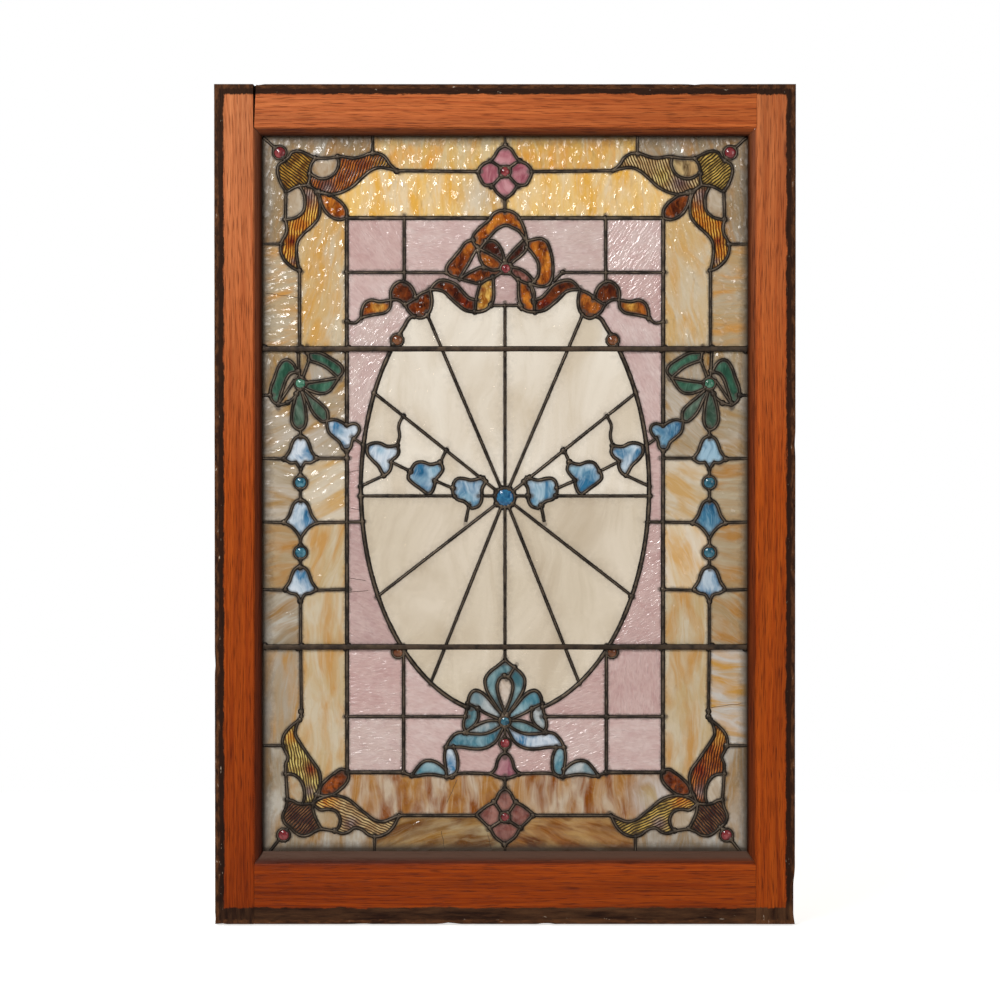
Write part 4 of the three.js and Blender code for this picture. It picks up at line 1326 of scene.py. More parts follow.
@functools.lru_cache(maxsize=None)
def oak_grain():
    """Varnished oak: long figure, fine pores and darker bands, with the grain along Z."""
    tree, given = new_group("Oak grain", [
        ("Place", "Vector", None), ("Pale", "Color", None), ("Body", "Color", None),
        ("Dark", "Color", None),
    ], [("Color", "Color"), ("Pores", "Float")])
    warp = cloud(tree, stretched(tree, given["Place"], (9, 9, 2.2)), 1.0, 2.0, 0.5)
    shift = put(tree, "ShaderNodeCombineXYZ", {"X": maths(tree, "MULTIPLY", warp, 0.02)}).outputs[0]
    place = put(tree, "ShaderNodeVectorMath", {0: given["Place"], 1: shift},
                operation="ADD").outputs[0]
    figure = cloud(tree, stretched(tree, place, (330, 330, 6)), 1.0, 3.0, 0.6)
    broad = cloud(tree, stretched(tree, place, (46, 46, 2)), 1.0, 2.0, 0.5)
    pores = cloud(tree, stretched(tree, place, (800, 800, 30)), 1.0, 2.0, 0.55)
    colour = blend(tree, span(tree, figure, 0.34, 0.66), given["Pale"], given["Body"])
    colour = blend(tree, span(tree, broad, 0.46, 0.72, 0.0, 0.38), colour, given["Dark"])
    pits = span(tree, pores, 0.53, 0.66)
    colour = blend(tree, maths(tree, "MULTIPLY", pits, 0.75), colour, given["Dark"])
    return close_group(tree, {"Color": colour, "Pores": pits})


# ---------------------------------------------------------------- the oak sash


def varnish_tones(tree, axes, crosswise):
    """Pale, body and dark colour of the varnish: paler high up, most at the left, as a painted sheen, and
    deeper at the lower left.
    """
    # Painted sheen: the varnish turns paler high up, most at the left.
    high = span(tree, axes["Z"], 0.55, 1.0, 0.0, 0.5 if crosswise else 1.0)
    painted_sheen = maths(tree, "MULTIPLY", high, span(tree, axes["X"], -0.3, 0.3, 0.75, 0.5))
    low = span(tree, axes["Z"], 0.05, 0.75, 0.85, 0.0)
    low = maths(tree, "MULTIPLY", low, span(tree, axes["X"], -0.3, 0.3, 1.0, 0.45))
    pale = blend(tree, painted_sheen, rgb(196, 90, 18), rgb(224, 146, 94))
    body = blend(tree, painted_sheen, rgb(166, 66, 7), rgb(194, 112, 64))
    return {
        "Pale": blend(tree, low, pale, rgb(146, 56, 4)),
        "Body": blend(tree, low, body, rgb(112, 36, 1)),
        "Dark": blend(tree, painted_sheen, rgb(84, 27, 3), rgb(124, 60, 30)),
    }


def bare_edges(tree, colour, axes, along, ragged):
    """Bare, dirty and rubbed wood round the outside of the sash, and where it is bare."""
    side = maths(tree, "SUBTRACT", HALF_WIDTH * MM, maths(tree, "ABSOLUTE", axes["X"]))
    top = maths(tree, "SUBTRACT", HEIGHT * MM, axes["Z"])
    bare = margin_mask(tree, side, ragged, 0.012)
    bare = maths(tree, "MAXIMUM", bare, margin_mask(tree, top, ragged, 0.013))
    bare = maths(tree, "MAXIMUM", bare, margin_mask(tree, axes["Z"], ragged, 0.021))
    weather = cloud(tree, stretched(tree, along, (90, 90, 14)), 1.0, 5.0, 0.65)
    foot = span(tree, axes["Z"], 0.021, 0.03, 1.0, 0.0)
    foot = maths(tree, "MULTIPLY", foot, span(tree, axes["X"], -0.3, 0.3, 0.6, 1.0))
    grey = maths(tree, "MULTIPLY", span(tree, weather, 0.38, 0.62), foot)
    soil = blend(tree, grey, rgb(28, 18, 11), rgb(88, 60, 38))
    colour = blend(tree, maths(tree, "MULTIPLY", bare, 0.96), colour, soil)
    outer = maths(tree, "MINIMUM", side, maths(tree, "MINIMUM", top, axes["Z"]))
    rubbed = margin_mask(tree, outer, ragged, 0.0055)
    speck = cloud(tree, stretched(tree, along, (240, 240, 70)), 1.0, 4.0, 0.7)
    rubbed = maths(tree, "MULTIPLY", rubbed, span(tree, speck, 0.42, 0.6, 0.05, 0.8))
    colour = blend(tree, rubbed, colour, rgb(104, 64, 36))
    flecks = maths(tree, "MULTIPLY", margin_mask(tree, outer, ragged, 0.011),
                   span(tree, speck, 0.66, 0.72))
    return blend(tree, flecks, colour, rgb(186, 168, 148)), bare


def darkened_moulding(tree, colour, axes, ragged):
    """Painted shade on the moulding and in the depth of the rebate, and dust with painted light on the
    sill.
    """
    # Painted shade on the moulding, stronger at the left.
    across = maths(tree, "SUBTRACT", JOINT_SIDE * MM, maths(tree, "ABSOLUTE", axes["X"]))
    inward = maths(tree, "MINIMUM", across, maths(tree, "SUBTRACT", JOINT_TOP * MM, axes["Z"]))
    inward = maths(tree, "MINIMUM", inward,
                   maths(tree, "SUBTRACT", axes["Z"], JOINT_BOTTOM * MM))
    moulded = span(tree, maths(tree, "ADD", inward, maths(tree, "MULTIPLY", ragged, 0.2)),
                   0.0, 2 * MM)
    moulded = maths(tree, "MULTIPLY", moulded, span(tree, axes["X"], -0.3, 0.3, 0.8, 0.6))
    colour = blend(tree, moulded, colour, rgb(50, 14, 2))
    # Painted shade in the depth of the rebate, darkest furthest back.
    depth = span(tree, axes["Y"], (FRONT + 1.5) * MM, (FRONT + 5) * MM)
    face = axes_of(tree, object_facing(tree))
    colour = blend(tree, maths(tree, "MULTIPLY", depth, 0.8), colour, rgb(40, 15, 6))
    inner = span(tree, axes["Y"], (FRONT + 5) * MM, (FRONT + 10) * MM)
    colour = blend(tree, maths(tree, "MULTIPLY", inner, 0.8), colour, rgb(16, 8, 5))
    # Dust and painted light on the faces that turn upward in the depth of the sash.
    dust_and_top_light = maths(tree, "MULTIPLY", span(tree, face["Z"], 0.3, 0.45), depth)
    colour = blend(tree, maths(tree, "MULTIPLY", dust_and_top_light, 0.75), colour, rgb(98, 72, 58))
    behind = span(tree, face["Y"], 0.5, 0.9)
    return blend(tree, maths(tree, "MULTIPLY", behind, 0.6), colour, rgb(112, 80, 52))


def wood_material(name, crosswise):
    """Worn varnish over oak, bare and black with dirt where it stops short of the edges."""
    material, tree, shader = new_material(name)
    axes = axes_of(tree, object_place(tree))
    order = (axes["Z"], axes["Y"], axes["X"]) if crosswise else (axes["X"], axes["Y"], axes["Z"])
    along = put(tree, "ShaderNodeCombineXYZ", dict(zip("XYZ", order))).outputs[0]
    grain = use(tree, oak_grain(), {"Place": along, **varnish_tones(tree, axes, crosswise)})
    ragged = cloud(tree, stretched(tree, along, (110, 110, 30)), 1.0, 7.0, 0.8)
    ragged = maths(tree, "MULTIPLY", maths(tree, "SUBTRACT", ragged, 0.5), 0.011)
    colour, bare = bare_edges(tree, grain["Color"], axes, along, ragged)
    link_all(tree, shader, {
        "Base Color": darkened_moulding(tree, colour, axes, ragged),
        "Roughness": maths(tree, "MULTIPLY_ADD", bare, 0.35, 0.4),
        "Normal": relief_of(tree, maths(tree, "SUBTRACT", 1.0, grain["Pores"]), 0.2)})
    shader.inputs["Specular IOR Level"].default_value = 0.12
    return material


SOFTNESS = 0.0008  # half the width of the edge between bare and varnished wood, in metres


def margin_mask(tree, distance, ragged, width):
    """1 within a margin of an edge, with a ragged boundary."""
    place = maths(tree, "ADD", distance, ragged)
    return span(tree, place, width - SOFTNESS, width + SOFTNESS, 1.0, 0.0)


def arc_points(centre, radius, start, end, steps):
    """Points of a round stretch of a section, the angles in degrees."""
    turns = [math.radians(start + (end - start) * i / steps) for i in range(steps + 1)]
    return [(centre[0] + radius * math.cos(t), centre[1] + radius * math.sin(t)) for t in turns]


WORN_EDGE = 1.4  # radius of the outer edges
FACE_STEP, RUN_STEP = 7, 8  # spacing of the points that carry the wear
NOSE_STEPS = 8  # of the round moulding


def section_of(flat, nose, moulded):
    """Section of a member from its outer edge inwards, as (distance in, depth)."""
    worn = WORN_EDGE
    points = arc_points((worn, FRONT + worn), worn, 180, 270, 4)
    steps = max(1, round((flat - 2 * worn) / FACE_STEP))
    points += [(worn + (flat - 2 * worn) * i / steps, FRONT) for i in range(1, steps)]
    if moulded:
        points += [(flat - 0.3, FRONT), (flat, FRONT + 0.3), (flat, FRONT + FILLET)]
        rise = MOULDING_DROP - FILLET
        for i in range(1, NOSE_STEPS + 1):
            turn = math.radians(90 * i / NOSE_STEPS)
            points.append((flat + nose * math.sin(turn),
                           FRONT + FILLET + rise * (1 - math.cos(turn))))
    else:
        points += [(flat - 0.6, FRONT), (flat + 0.4, FRONT + 0.3)]
        points += [(flat + nose * i / 4, FRONT + MOULDING_DROP * i / 4) for i in range(1, 5)]
    edge = flat + nose
    points += [(edge, REBATE_FRONT), (edge - REBATE_WIDTH, REBATE_FRONT),
               (edge - REBATE_WIDTH, BACK), (worn, BACK), (0, BACK - worn)]
    return points


def swept_member(section, start, across, run, length):
    """Sweeps a section: start is its outer edge, across points inwards and run goes along."""
    bm = bmesh.new()
    ring_of = [bm.verts.new(start + across * t + Vector((0, y, 0))) for t, y in section]
    edges = [bm.edges.new((a, b)) for a, b in zip(ring_of, ring_of[1:] + ring_of[:1])]
    steps = max(1, round(length / RUN_STEP))
    bmesh.ops.spin(bm, geom=ring_of + edges, cent=(0, 0, 0), axis=(0, 1, 0), angle=0,
                   dvec=run * (length / steps), steps=steps, use_duplicate=False)
    bm.edges.ensure_lookup_table()
    bmesh.ops.holes_fill(bm, edges=[e for e in bm.edges if e.is_boundary], sides=0)
    bmesh.ops.recalc_face_normals(bm, faces=bm.faces)
    return bm


def prism(outline):
    """A prism through the whole depth of the window from an outline of (x, z)."""
    bm = bmesh.new()
    face = bm.faces.new([bm.verts.new((x, FRONT - 2, z)) for x, z in outline])
    made = bmesh.ops.extrude_face_region(bm, geom=[face])
    for item in made["geom"]:
        if isinstance(item, bmesh.types.BMVert):
            item.co.y = BACK + 2
    bmesh.ops.recalc_face_normals(bm, faces=bm.faces)
    return bm


def block(bm, middle, size):
    """A rectangular block."""
    bmesh.ops.create_cube(bm, size=1.0, matrix=Matrix.Translation(middle)
                          @ Matrix.Diagonal((*size, 1)))


def loose_mesh(bm, name):
    mesh = bpy.data.meshes.new(name)
    bm.to_mesh(mesh)
    bm.free()
    return mesh


def trimmed(bm, keep):
    """Keeps the part of one solid that lies inside another."""
    scene = bpy.context.scene.collection.objects
    part = bpy.data.objects.new("trimmed", loose_mesh(bm, "trimmed"))
    cutter = bpy.data.objects.new("cutter", loose_mesh(keep, "cutter"))
    scene.link(part)
    scene.link(cutter)
    cut = part.modifiers.new("cut", "BOOLEAN")
    cut.operation = "INTERSECT"
    cut.solver = "EXACT"
    cut.object = cutter
    depsgraph = bpy.context.evaluated_depsgraph_get()
    result = bmesh.new()
    result.from_object(part, depsgraph)
    for spare in (part, cutter):
        mesh = spare.data
        bpy.data.objects.remove(spare)
        bpy.data.meshes.remove(mesh)
    return result


WEAR_WIDTH, WEAR_DEPTH = 8, 6  # how far wear reaches in from the edge and back from the face
ARRIS = 4  # the unevenness of an edge dies away this far in

# Chips and bruises on the outer edges: x, height, radius and depth.
CHIPS = [
    (-312, HEIGHT, 6, 1.6), (-71, 0, 11, 2.2), (52, 0, 8, 1.8), (-362, 4, 9, 2.0),
    (HALF_WIDTH, 40, 28, 3.2), (HALF_WIDTH, 14, 12, 2.2), (-HALF_WIDTH, 330, 10, 1.2),
    (HALF_WIDTH, 610, 12, 1.2), (240, HEIGHT, 9, 1.2), (-180, 0, 7, 1.0),
]


def wear(bm):
    """Chips the front arrises and makes every long edge a little uneven."""
    for vert in bm.verts:
        x, y, z = vert.co
        inward_x = -1 if x > 0 else 1
        side, foot, head = HALF_WIDTH - abs(x), z, HEIGHT - z
        edge = min(side, foot, head)
        if edge > WEAR_WIDTH or y > FRONT + WEAR_DEPTH:
            continue
        rough = 0.35 * abs(noise.noise(Vector((x * 0.06, 3.0, z * 0.06))))
        drop = rough * max(0.0, 1 - edge / ARRIS)
        for chip_x, chip_z, radius, depth in CHIPS:
            away = math.hypot(x - chip_x, z - chip_z) / radius
            if away < 1:
                drop += depth * (1 - away * away)
        if side == edge:
            vert.co.x += inward_x * drop * 0.7
        elif foot == edge:
            vert.co.z += drop * 0.7
        else:
            vert.co.z -= drop * 0.7
        vert.co.y += drop * 0.5


def oak_member(name, bm, keep, material, tenon=None):
    result = trimmed(bm, prism(keep))
    bmesh.ops.remove_doubles(result, verts=result.verts, dist=0.001)
    wear(result)
    if tenon:
        result.from_mesh(tenon)
        bpy.data.meshes.remove(tenon)
    smooth_by_angle(result, 32)
    piece = object_of(result, "oak_" + name, material)
    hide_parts(name)
    return piece


def smooth_by_angle(bm, degrees):
    limit = math.radians(degrees)
    for face in bm.faces:
        face.smooth = True
    for edge in bm.edges:
        if len(edge.link_faces) == 2 and edge.calc_face_angle(0) > limit:
            edge.smooth = False


def build_stile(side, material):
    section = section_of(HALF_WIDTH - JOINT_SIDE, MOULDING_WIDTH, True)
    bm = swept_member(section, Vector((side * HALF_WIDTH, 0, 0)), Vector((-side, 0, 0)),
                      Vector((0, 0, 1)), HEIGHT)
    outline = [(HALF_WIDTH + 1, -1), (JOINT_SIDE, -1), (JOINT_SIDE, JOINT_BOTTOM),
               (SIGHT_SIDE, SIGHT_BOTTOM), (SIGHT_SIDE, SIGHT_TOP), (JOINT_SIDE, JOINT_TOP),
               (JOINT_SIDE, HEIGHT + 1), (HALF_WIDTH + 1, HEIGHT + 1)]
    name = "left_stile" if side < 0 else "right_stile"
    return oak_member(name, bm, [(side * x, z) for x, z in outline], material)


def build_top_rail(material):
    section = section_of(HEIGHT - JOINT_TOP, MOULDING_WIDTH, True)
    bm = swept_member(section, Vector((-HALF_WIDTH, 0, HEIGHT)), Vector((0, 0, -1)),
                      Vector((1, 0, 0)), 2 * HALF_WIDTH)
    keep = [
        (-JOINT_SIDE + OPEN_JOINT[0], HEIGHT + 1), (-JOINT_SIDE + OPEN_JOINT[1], JOINT_TOP),
        (-SIGHT_SIDE + GAP, SIGHT_TOP), (SIGHT_SIDE - GAP, SIGHT_TOP),
        (JOINT_SIDE - GAP, JOINT_TOP), (JOINT_SIDE - GAP, HEIGHT + 1),
    ]
    return oak_member("top_rail", bm, keep, material, shoulder_tenon())


def shoulder_tenon():
    """The tenon that shows, in shadow, where the shrunken joint stands open."""
    bm = bmesh.new()
    low = Vector((-JOINT_SIDE - 0.2, -6, JOINT_TOP - 8))
    high = Vector((-JOINT_SIDE + OPEN_JOINT[0] + 3, 6, HEIGHT - 1.5))
    block(bm, (low + high) / 2, high - low)
    return loose_mesh(bm, "tenon")


def build_bottom_rail(material):
    section = section_of(JOINT_BOTTOM, SILL_BEVEL, False)
    bm = swept_member(section, Vector((-HALF_WIDTH, 0, 0)), Vector((0, 0, 1)),
                      Vector((1, 0, 0)), 2 * HALF_WIDTH)
    keep = [
        (-JOINT_SIDE + GAP, -1), (JOINT_SIDE - GAP, -1), (JOINT_SIDE - GAP, JOINT_BOTTOM),
        (SIGHT_SIDE - GAP, SIGHT_BOTTOM), (-SIGHT_SIDE + GAP, SIGHT_BOTTOM),
        (-JOINT_SIDE + GAP, JOINT_BOTTOM),
    ]
    return oak_member("bottom_rail", bm, keep, material)


# ---------------------------------------------------------------- lead, bars and jewels

LEAD_REACH = LEAD_HIGH.y  # half the depth of a came
BAR_LOW, BAR_HIGH = box_mm("upper_support_bar")
BAR_DEPTH = BAR_HIGH.y - BAR_LOW.y
BAR_HEIGHT = BAR_HIGH.z - BAR_LOW.z
BAR_MIDDLE = (BAR_HIGH.y + BAR_LOW.y) / 2
BAR_STEPS = 80  # cuts that let a bar be uneven
BAR_ARRIS = 1.4
SOLDER_PROUD = 1.09  # how far solder stands forward, as a share of the lead's reach
JEWEL_RISE, JEWEL_STEPS, JEWEL_SIDES = 2.2, 5, 20
RING_COVER = 1.2  # a ring came covers this much of the edge of its jewel
CRACK_WIDTH, CRACK_DEPTH = 0.5, 0.2
CRACK_LIFT = 0.25  # a crack lies this far in front of the glass
CRACK_STEP = 4  # spacing of its bends


def came_curves(width, lines):
    """Round cames of one width, swept along their centre lines and a little uneven."""
    curve = bpy.data.curves.new("cames", "CURVE")
    curve.dimensions = "3D"
    curve.twist_mode = "Z_UP"
    curve.bevel_depth = width / 2
    curve.bevel_resolution = 2
    curve.use_fill_caps = True
    for line in lines:
        course = curved(line)
        spline = curve.splines.new("POLY")
        spline.points.add(len(course) - 1)
        spline.use_cyclic_u = line["closed"]
        for point, here in zip(spline.points, course):
            point.co = (here.x, here.y, 0, 1)
            uneven = noise.noise(Vector((here.x * 0.07, here.y * 0.07, width)))
            fine = noise.noise(Vector((here.x * 0.3, here.y * 0.3, width)))
            point.radius = 1 + 0.12 * uneven + 0.07 * fine
    return curve


def add_curve(bm, curve, reach):
    """Adds a flat curve to a bmesh as a mesh, stood upright and given its depth."""
    holder = bpy.data.objects.new("cames", curve)
    bpy.context.scene.collection.objects.link(holder)
    depsgraph = bpy.context.evaluated_depsgraph_get()
    mesh = bpy.data.meshes.new_from_object(holder.evaluated_get(depsgraph))
    squash = reach / curve.bevel_depth
    stand = Matrix(((1, 0, 0, 0), (0, 0, -squash, 0), (0, 1, 0, 0), (0, 0, 0, 1)))
    mesh.transform(stand)
    bm.from_mesh(mesh)
    bpy.data.objects.remove(holder)
    bpy.data.curves.remove(curve)
    bpy.data.meshes.remove(mesh)


def solder(bm, x, z, radius, reach, y=0.0):
    """A flattened blob of solder."""
    shape = Matrix.Diagonal((radius, reach, radius, 1))
    bmesh.ops.create_icosphere(bm, subdivisions=2, radius=1.0,
                               matrix=Matrix.Translation((x, y, z)) @ shape)


def build_lead(material, reach):
    bm = bmesh.new()
    lines = all_cames()
    for width in sorted({line["width"] for line in lines}):
        add_curve(bm, came_curves(width, [line for line in lines if line["width"] == width]), reach)
    bmesh.ops.remove_doubles(bm, verts=bm.verts, dist=0.005)
    dice = random.Random(5)
    for joint in arrangement()[4]:
        solder(bm, joint.x + dice.uniform(-0.6, 0.6), joint.y + dice.uniform(-0.6, 0.6),
               dice.uniform(3.6, 5.2), reach * dice.uniform(1.02, 1.1))
    for vert in bm.verts:
        vert.co.y = max(-SOLDER_PROUD * reach, min(reach, vert.co.y))
        vert.co.x = max(LEAD_LOW.x, min(LEAD_HIGH.x, vert.co.x))
        vert.co.z = max(LEAD_LOW.z, min(LEAD_HIGH.z, vert.co.z))
    bmesh.ops.recalc_face_normals(bm, faces=bm.faces)
    smooth(bm)
    return object_of(bm, "lead_cames", material)


def build_bar(name, height, material):
    """A zinc bar across the face of the leading, soldered where it crosses the cames."""
    bm = bmesh.new()
    reach = SIGHT_SIDE - GAP
    block(bm, (0, BAR_MIDDLE, height), (2 * reach, BAR_DEPTH, BAR_HEIGHT))
    long_edges = [e for e in bm.edges if abs(e.verts[0].co.x - e.verts[1].co.x) > 1]
    bmesh.ops.bevel(bm, geom=long_edges, offset=BAR_ARRIS, affect="EDGES", segments=3, profile=0.5,
                    material=-1)
    for step in range(1, BAR_STEPS):
        at = -reach + 2 * reach * step / BAR_STEPS
        bmesh.ops.bisect_plane(bm, geom=bm.verts[:] + bm.edges[:] + bm.faces[:],
                               plane_co=(at, 0, 0), plane_no=(1, 0, 0))
    for vert in bm.verts:
        x = vert.co.x
        if abs(x) > reach - 0.1:
            continue
        vert.co.z += 0.35 * noise.noise(Vector((x * 0.02, 5.0, height)))
        vert.co.y += 0.2 * noise.noise(Vector((x * 0.05, 9.0, vert.co.z * 0.3)))
    for x, radius in ((BORDER_SIDE - 4.5, 5.0), (STRING + 1, 4.6), (INNER_SIDE, 4.4)):
        for side in (-1, 1):
            for lift in (-2.4, 2.4):
                solder(bm, side * x + lift, height + lift * 0.5, radius, BAR_DEPTH * 0.62,
                       BAR_MIDDLE + 0.4)
    bmesh.ops.recalc_face_normals(bm, faces=bm.faces)
    smooth_by_angle(bm, 50)
    piece = object_of(bm, "zinc_" + name, material)
    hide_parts(name)


def build_jewels(material):
    """Domed glass jewels held in the ring cames."""
    bm = bmesh.new()
    layers = bm.verts.layers
    sheet = layers.float_vector.new("sheet")
    tones = [layers.float_color.new(tone) for tone in ("body", "streak", "pale")]
    for x, z, radius, glass in JEWELS:
        for side in ((-1, 1) if x > 1 else (1,)):
            held = radius - RING_COVER
            old = set(bm.verts)
            start = bm.verts.new((side * x, GLASS_BACK, z))
            profile = [start, bm.verts.new((side * x + held, GLASS_BACK, z))]
            for i in range(JEWEL_STEPS + 1):
                turn = math.radians(90 * i / JEWEL_STEPS)
                profile.append(bm.verts.new((
                    side * x + held * math.cos(turn),
                    GLASS_FRONT - JEWEL_RISE * math.sin(turn), z)))
            edges = [bm.edges.new(pair) for pair in zip(profile, profile[1:])]
            bmesh.ops.spin(bm, geom=profile + edges, cent=(side * x, 0, z), axis=(0, 1, 0),
                           angle=2 * math.pi, steps=JEWEL_SIDES, use_merge=True, use_duplicate=False)
            for vert in bm.verts:
                if vert in old:
                    continue
                vert[sheet] = ((vert.co.x - side * x) * CM + x, (vert.co.z - z) * CM + z, side)
                for layer, tone in zip(tones, JEWEL_COLOURS[glass]):
                    vert[layer] = (*linear(tone), 1.0)
    bmesh.ops.remove_doubles(bm, verts=bm.verts, dist=0.01)
    bmesh.ops.recalc_face_normals(bm, faces=bm.faces)
    smooth_by_angle(bm, 50)
    return object_of(bm, "jewels", material)


def build_cracks(material):
    """Hairline cracks that run across single panes."""
    bm = bmesh.new()
    dice = random.Random(8)
    courses = []
    for start, end in CRACKS:
        along = Vector(end) - Vector(start)
        aside = along.orthogonal().normalized()
        steps = max(4, round(along.length / CRACK_STEP))
        bends = [0.0] + [dice.uniform(-0.5, 0.5) for _ in range(steps - 1)] + [0.0]
        courses.append(came(CRACK_WIDTH, *(Vector(start) + along * i / steps + aside * bend
                                         for i, bend in enumerate(bends))))
    add_curve(bm, came_curves(CRACK_WIDTH, courses), CRACK_DEPTH)
    bmesh.ops.translate(bm, verts=bm.verts, vec=(0, GLASS_FRONT - CRACK_LIFT, 0))
    bmesh.ops.recalc_face_normals(bm, faces=bm.faces)
    return object_of(bm, "hairline_cracks", material)


def nodes_named(part):
    return [name for name in frame["nodes"] if part in name]


# ---------------------------------------------------------------- sizes and colours to change


class WindowSettings(bpy.types.PropertyGroup):
    lead_reach: bpy.props.FloatProperty(
        name="Half the depth of the lead", description="From the middle of a came to its crown",
        default=LEAD_REACH * MM, min=0.0005, unit="LENGTH", subtype="DISTANCE")
    relief: bpy.props.FloatProperty(
        name="Relief of the glass", description="Share of the roller's relief in the panes",
        default=1.0, min=0.0, max=3.0, subtype="FACTOR")
    texture: bpy.props.FloatProperty(
        name="Texture of the glass", description="Share of the fine dimples and ripples",
        default=1.0, min=0.0, max=3.0, subtype="FACTOR")


class StageSettings(bpy.types.PropertyGroup):
    daylight: bpy.props.FloatProperty(
        name="Daylight", description="Strength of the soft white light all round",
        default=0.17, min=0.0)
    key: bpy.props.FloatProperty(
        name="Key light", description="Power of the soft box at the upper left",
        default=52.0, min=0.0, unit="POWER")
    fill: bpy.props.FloatProperty(
        name="Fill light", description="Power of the large soft box at the right",
        default=12.0, min=0.0, unit="POWER")
    rear: bpy.props.FloatProperty(
        name="Rear lights", description="Power of each of the two soft boxes behind the window",
        default=16.0, min=0.0, unit="POWER")
    glint: bpy.props.FloatProperty(
        name="Glint light", description="Power of the small lamp that sparkles in the glass",
        default=24.0, min=0.0, unit="POWER")
    distance: bpy.props.FloatProperty(
        name="Distance", description="From the camera to the sash", default=6.0, min=1.0,
        unit="LENGTH", subtype="DISTANCE")
    view_width: bpy.props.FloatProperty(
        name="View width", description="Width of the view at the sash", default=1.27, min=0.1,
        unit="LENGTH", subtype="DISTANCE")


# ---------------------------------------------------------------- the stage

VIEW_MIDDLE = (-0.00635, 0.539)  # x and height that the camera looks at
TILT = math.radians(1.2)  # how far it looks down


def soft_world(strength):
    """Even light all round, with a white backdrop wherever the camera looks."""
    world = bpy.data.worlds.new("studio")
    world.use_nodes = True
    tree = world.node_tree
    ambient = tree.nodes["Background"]
    ambient.inputs["Color"].default_value = (1, 1, 1, 1)
    ambient.inputs["Strength"].default_value = strength
    backdrop = put(tree, "ShaderNodeBackground", {"Color": (1, 1, 1, 1), "Strength": 1.0})
    path = put(tree, "ShaderNodeLightPath").outputs
    seen = maths(tree, "MAXIMUM", path["Is Camera Ray"], path["Is Transmission Ray"])
    both = put(tree, "ShaderNodeMixShader", {0: seen, 1: ambient.outputs[0], 2: backdrop.outputs[0]})
    tree.links.new(both.outputs[0], tree.nodes["World Output"].inputs[0])
    return world


def softbox(name, place, size, power):
    light = bpy.data.lights.new(name, "AREA")
    light.energy = power
    light.size = size
    lamp = bpy.data.objects.new(name, light)
    lamp.location = place
    aim = Vector((0, 0, HEIGHT * MM / 2)) - lamp.location
    lamp.rotation_euler = aim.to_track_quat("-Z", "Y").to_euler()
    bpy.context.scene.collection.objects.link(lamp)


# ---------------------------------------------------------------- operators


class PieceOperator(bpy.types.Operator):
    bl_options = {"REGISTER", "UNDO"}

    @property
    def window(self):
        return bpy.context.scene.window_settings


class WINDOW_OT_sash(PieceOperator):
    """Build the oak stiles and rails"""
    bl_idname = "window.sash"
    bl_label = "Oak sash"

    def execute(self, context):
        upright = wood_material("oak upright", False)
        crosswise = wood_material("oak crosswise", True)
        build_stile(-1, upright)
        build_stile(1, upright)
        build_top_rail(crosswise)
        build_bottom_rail(crosswise)
        return {"FINISHED"}


class WINDOW_OT_lead(PieceOperator):
    """Build the soldered lead cames"""
    bl_idname = "window.lead"
    bl_label = "Lead cames"

    def execute(self, context):
        material = metal_material("old lead", (40, 31, 22), (19, 14, 10), (118, 102, 84), 0.42, 0.7)
        piece = build_lead(material, self.window.lead_reach / MM)
        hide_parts("lead_came_network")
        return {"FINISHED"}


class WINDOW_OT_bars(PieceOperator):
    """Build the two zinc bars across the panel"""
    bl_idname = "window.bars"
    bl_label = "Support bars"

    def execute(self, context):
        material = metal_material("old zinc", (46, 34, 24), (20, 14, 10), (92, 74, 56), 0.46, 0.6)
        build_bar("upper_support_bar", UPPER_BAR, material)
        build_bar("lower_support_bar", LOWER_BAR, material)
        return {"FINISHED"}


class WINDOW_OT_background(PieceOperator):
    """Cut the amber border, the pink field and the clear oval"""
    bl_idname = "window.background"
    bl_label = "Background glass"

    def execute(self, context):
        depth = self.window.texture
        relief = self.window.relief
        amber = glass_material(
            "hammered amber glass", (1.2, 0.65, 0.3, 1.0), 2.0 * depth,
            across=0.4, along=0.14, calm=0.42, shine=0.42)
        pink = glass_material(
            "rippled pink glass", (1.0, 3.4, 0.4, 0.7), 1.0 * depth,
            across=0.3, along=0.5, strength=0.5, ripple=0.22)
        clear = glass_material(
            "clear glass", (0.8, 1.2, 0.4, 0.3), 0.6 * depth,
            across=0.08, along=0.06, strength=0.75, reach=11.0, dirt=0.34, clear=1.0)
        made = [
            (cut_glass("amber_background_glass", hammered, relief, amber, 11), "amber"),
            (cut_glass("pink_background_glass", rippled, relief, pink, 12), "pink"),
            (cut_glass("clear_oval_glass", drawn, relief, clear, 13), "clear"),
        ]
        for piece, glass in made:
            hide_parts(*nodes_named(glass + "_pane_"))
        return {"FINISHED"}


class WINDOW_OT_ornament(PieceOperator):
    """Cut the leaves, ribbons, bows, bells and flowers"""
    bl_idname = "window.ornament"
    bl_label = "Ornament glass"

    def execute(self, context):
        depth = self.window.texture
        relief = self.window.relief
        striped = striped_material("striped glass", 0.08 * depth)
        fiery = glass_material(
            "fiery glass", (1.6, 1.6, 0.5, 0.6), 0.8 * depth, across=0.9, along=0.6, shine=0.35)
        opal = glass_material(
            "opal glass", (1.2, 0.9, 0.5, 0.3), 0.5 * depth, across=0.42, along=0.3)
        made = [
            cut_glass("striped_glass", grooved, relief, striped, 14),
            cut_glass("fiery_glass", rolled, relief, fiery, 15),
            cut_glass("opal_glass", rolled, relief, opal, 16),
        ]
        return {"FINISHED"}


class WINDOW_OT_jewels(PieceOperator):
    """Set the domed jewels in their rings"""
    bl_idname = "window.jewels"
    bl_label = "Jewels"

    def execute(self, context):
        build_jewels(jewel_material())
        return {"FINISHED"}


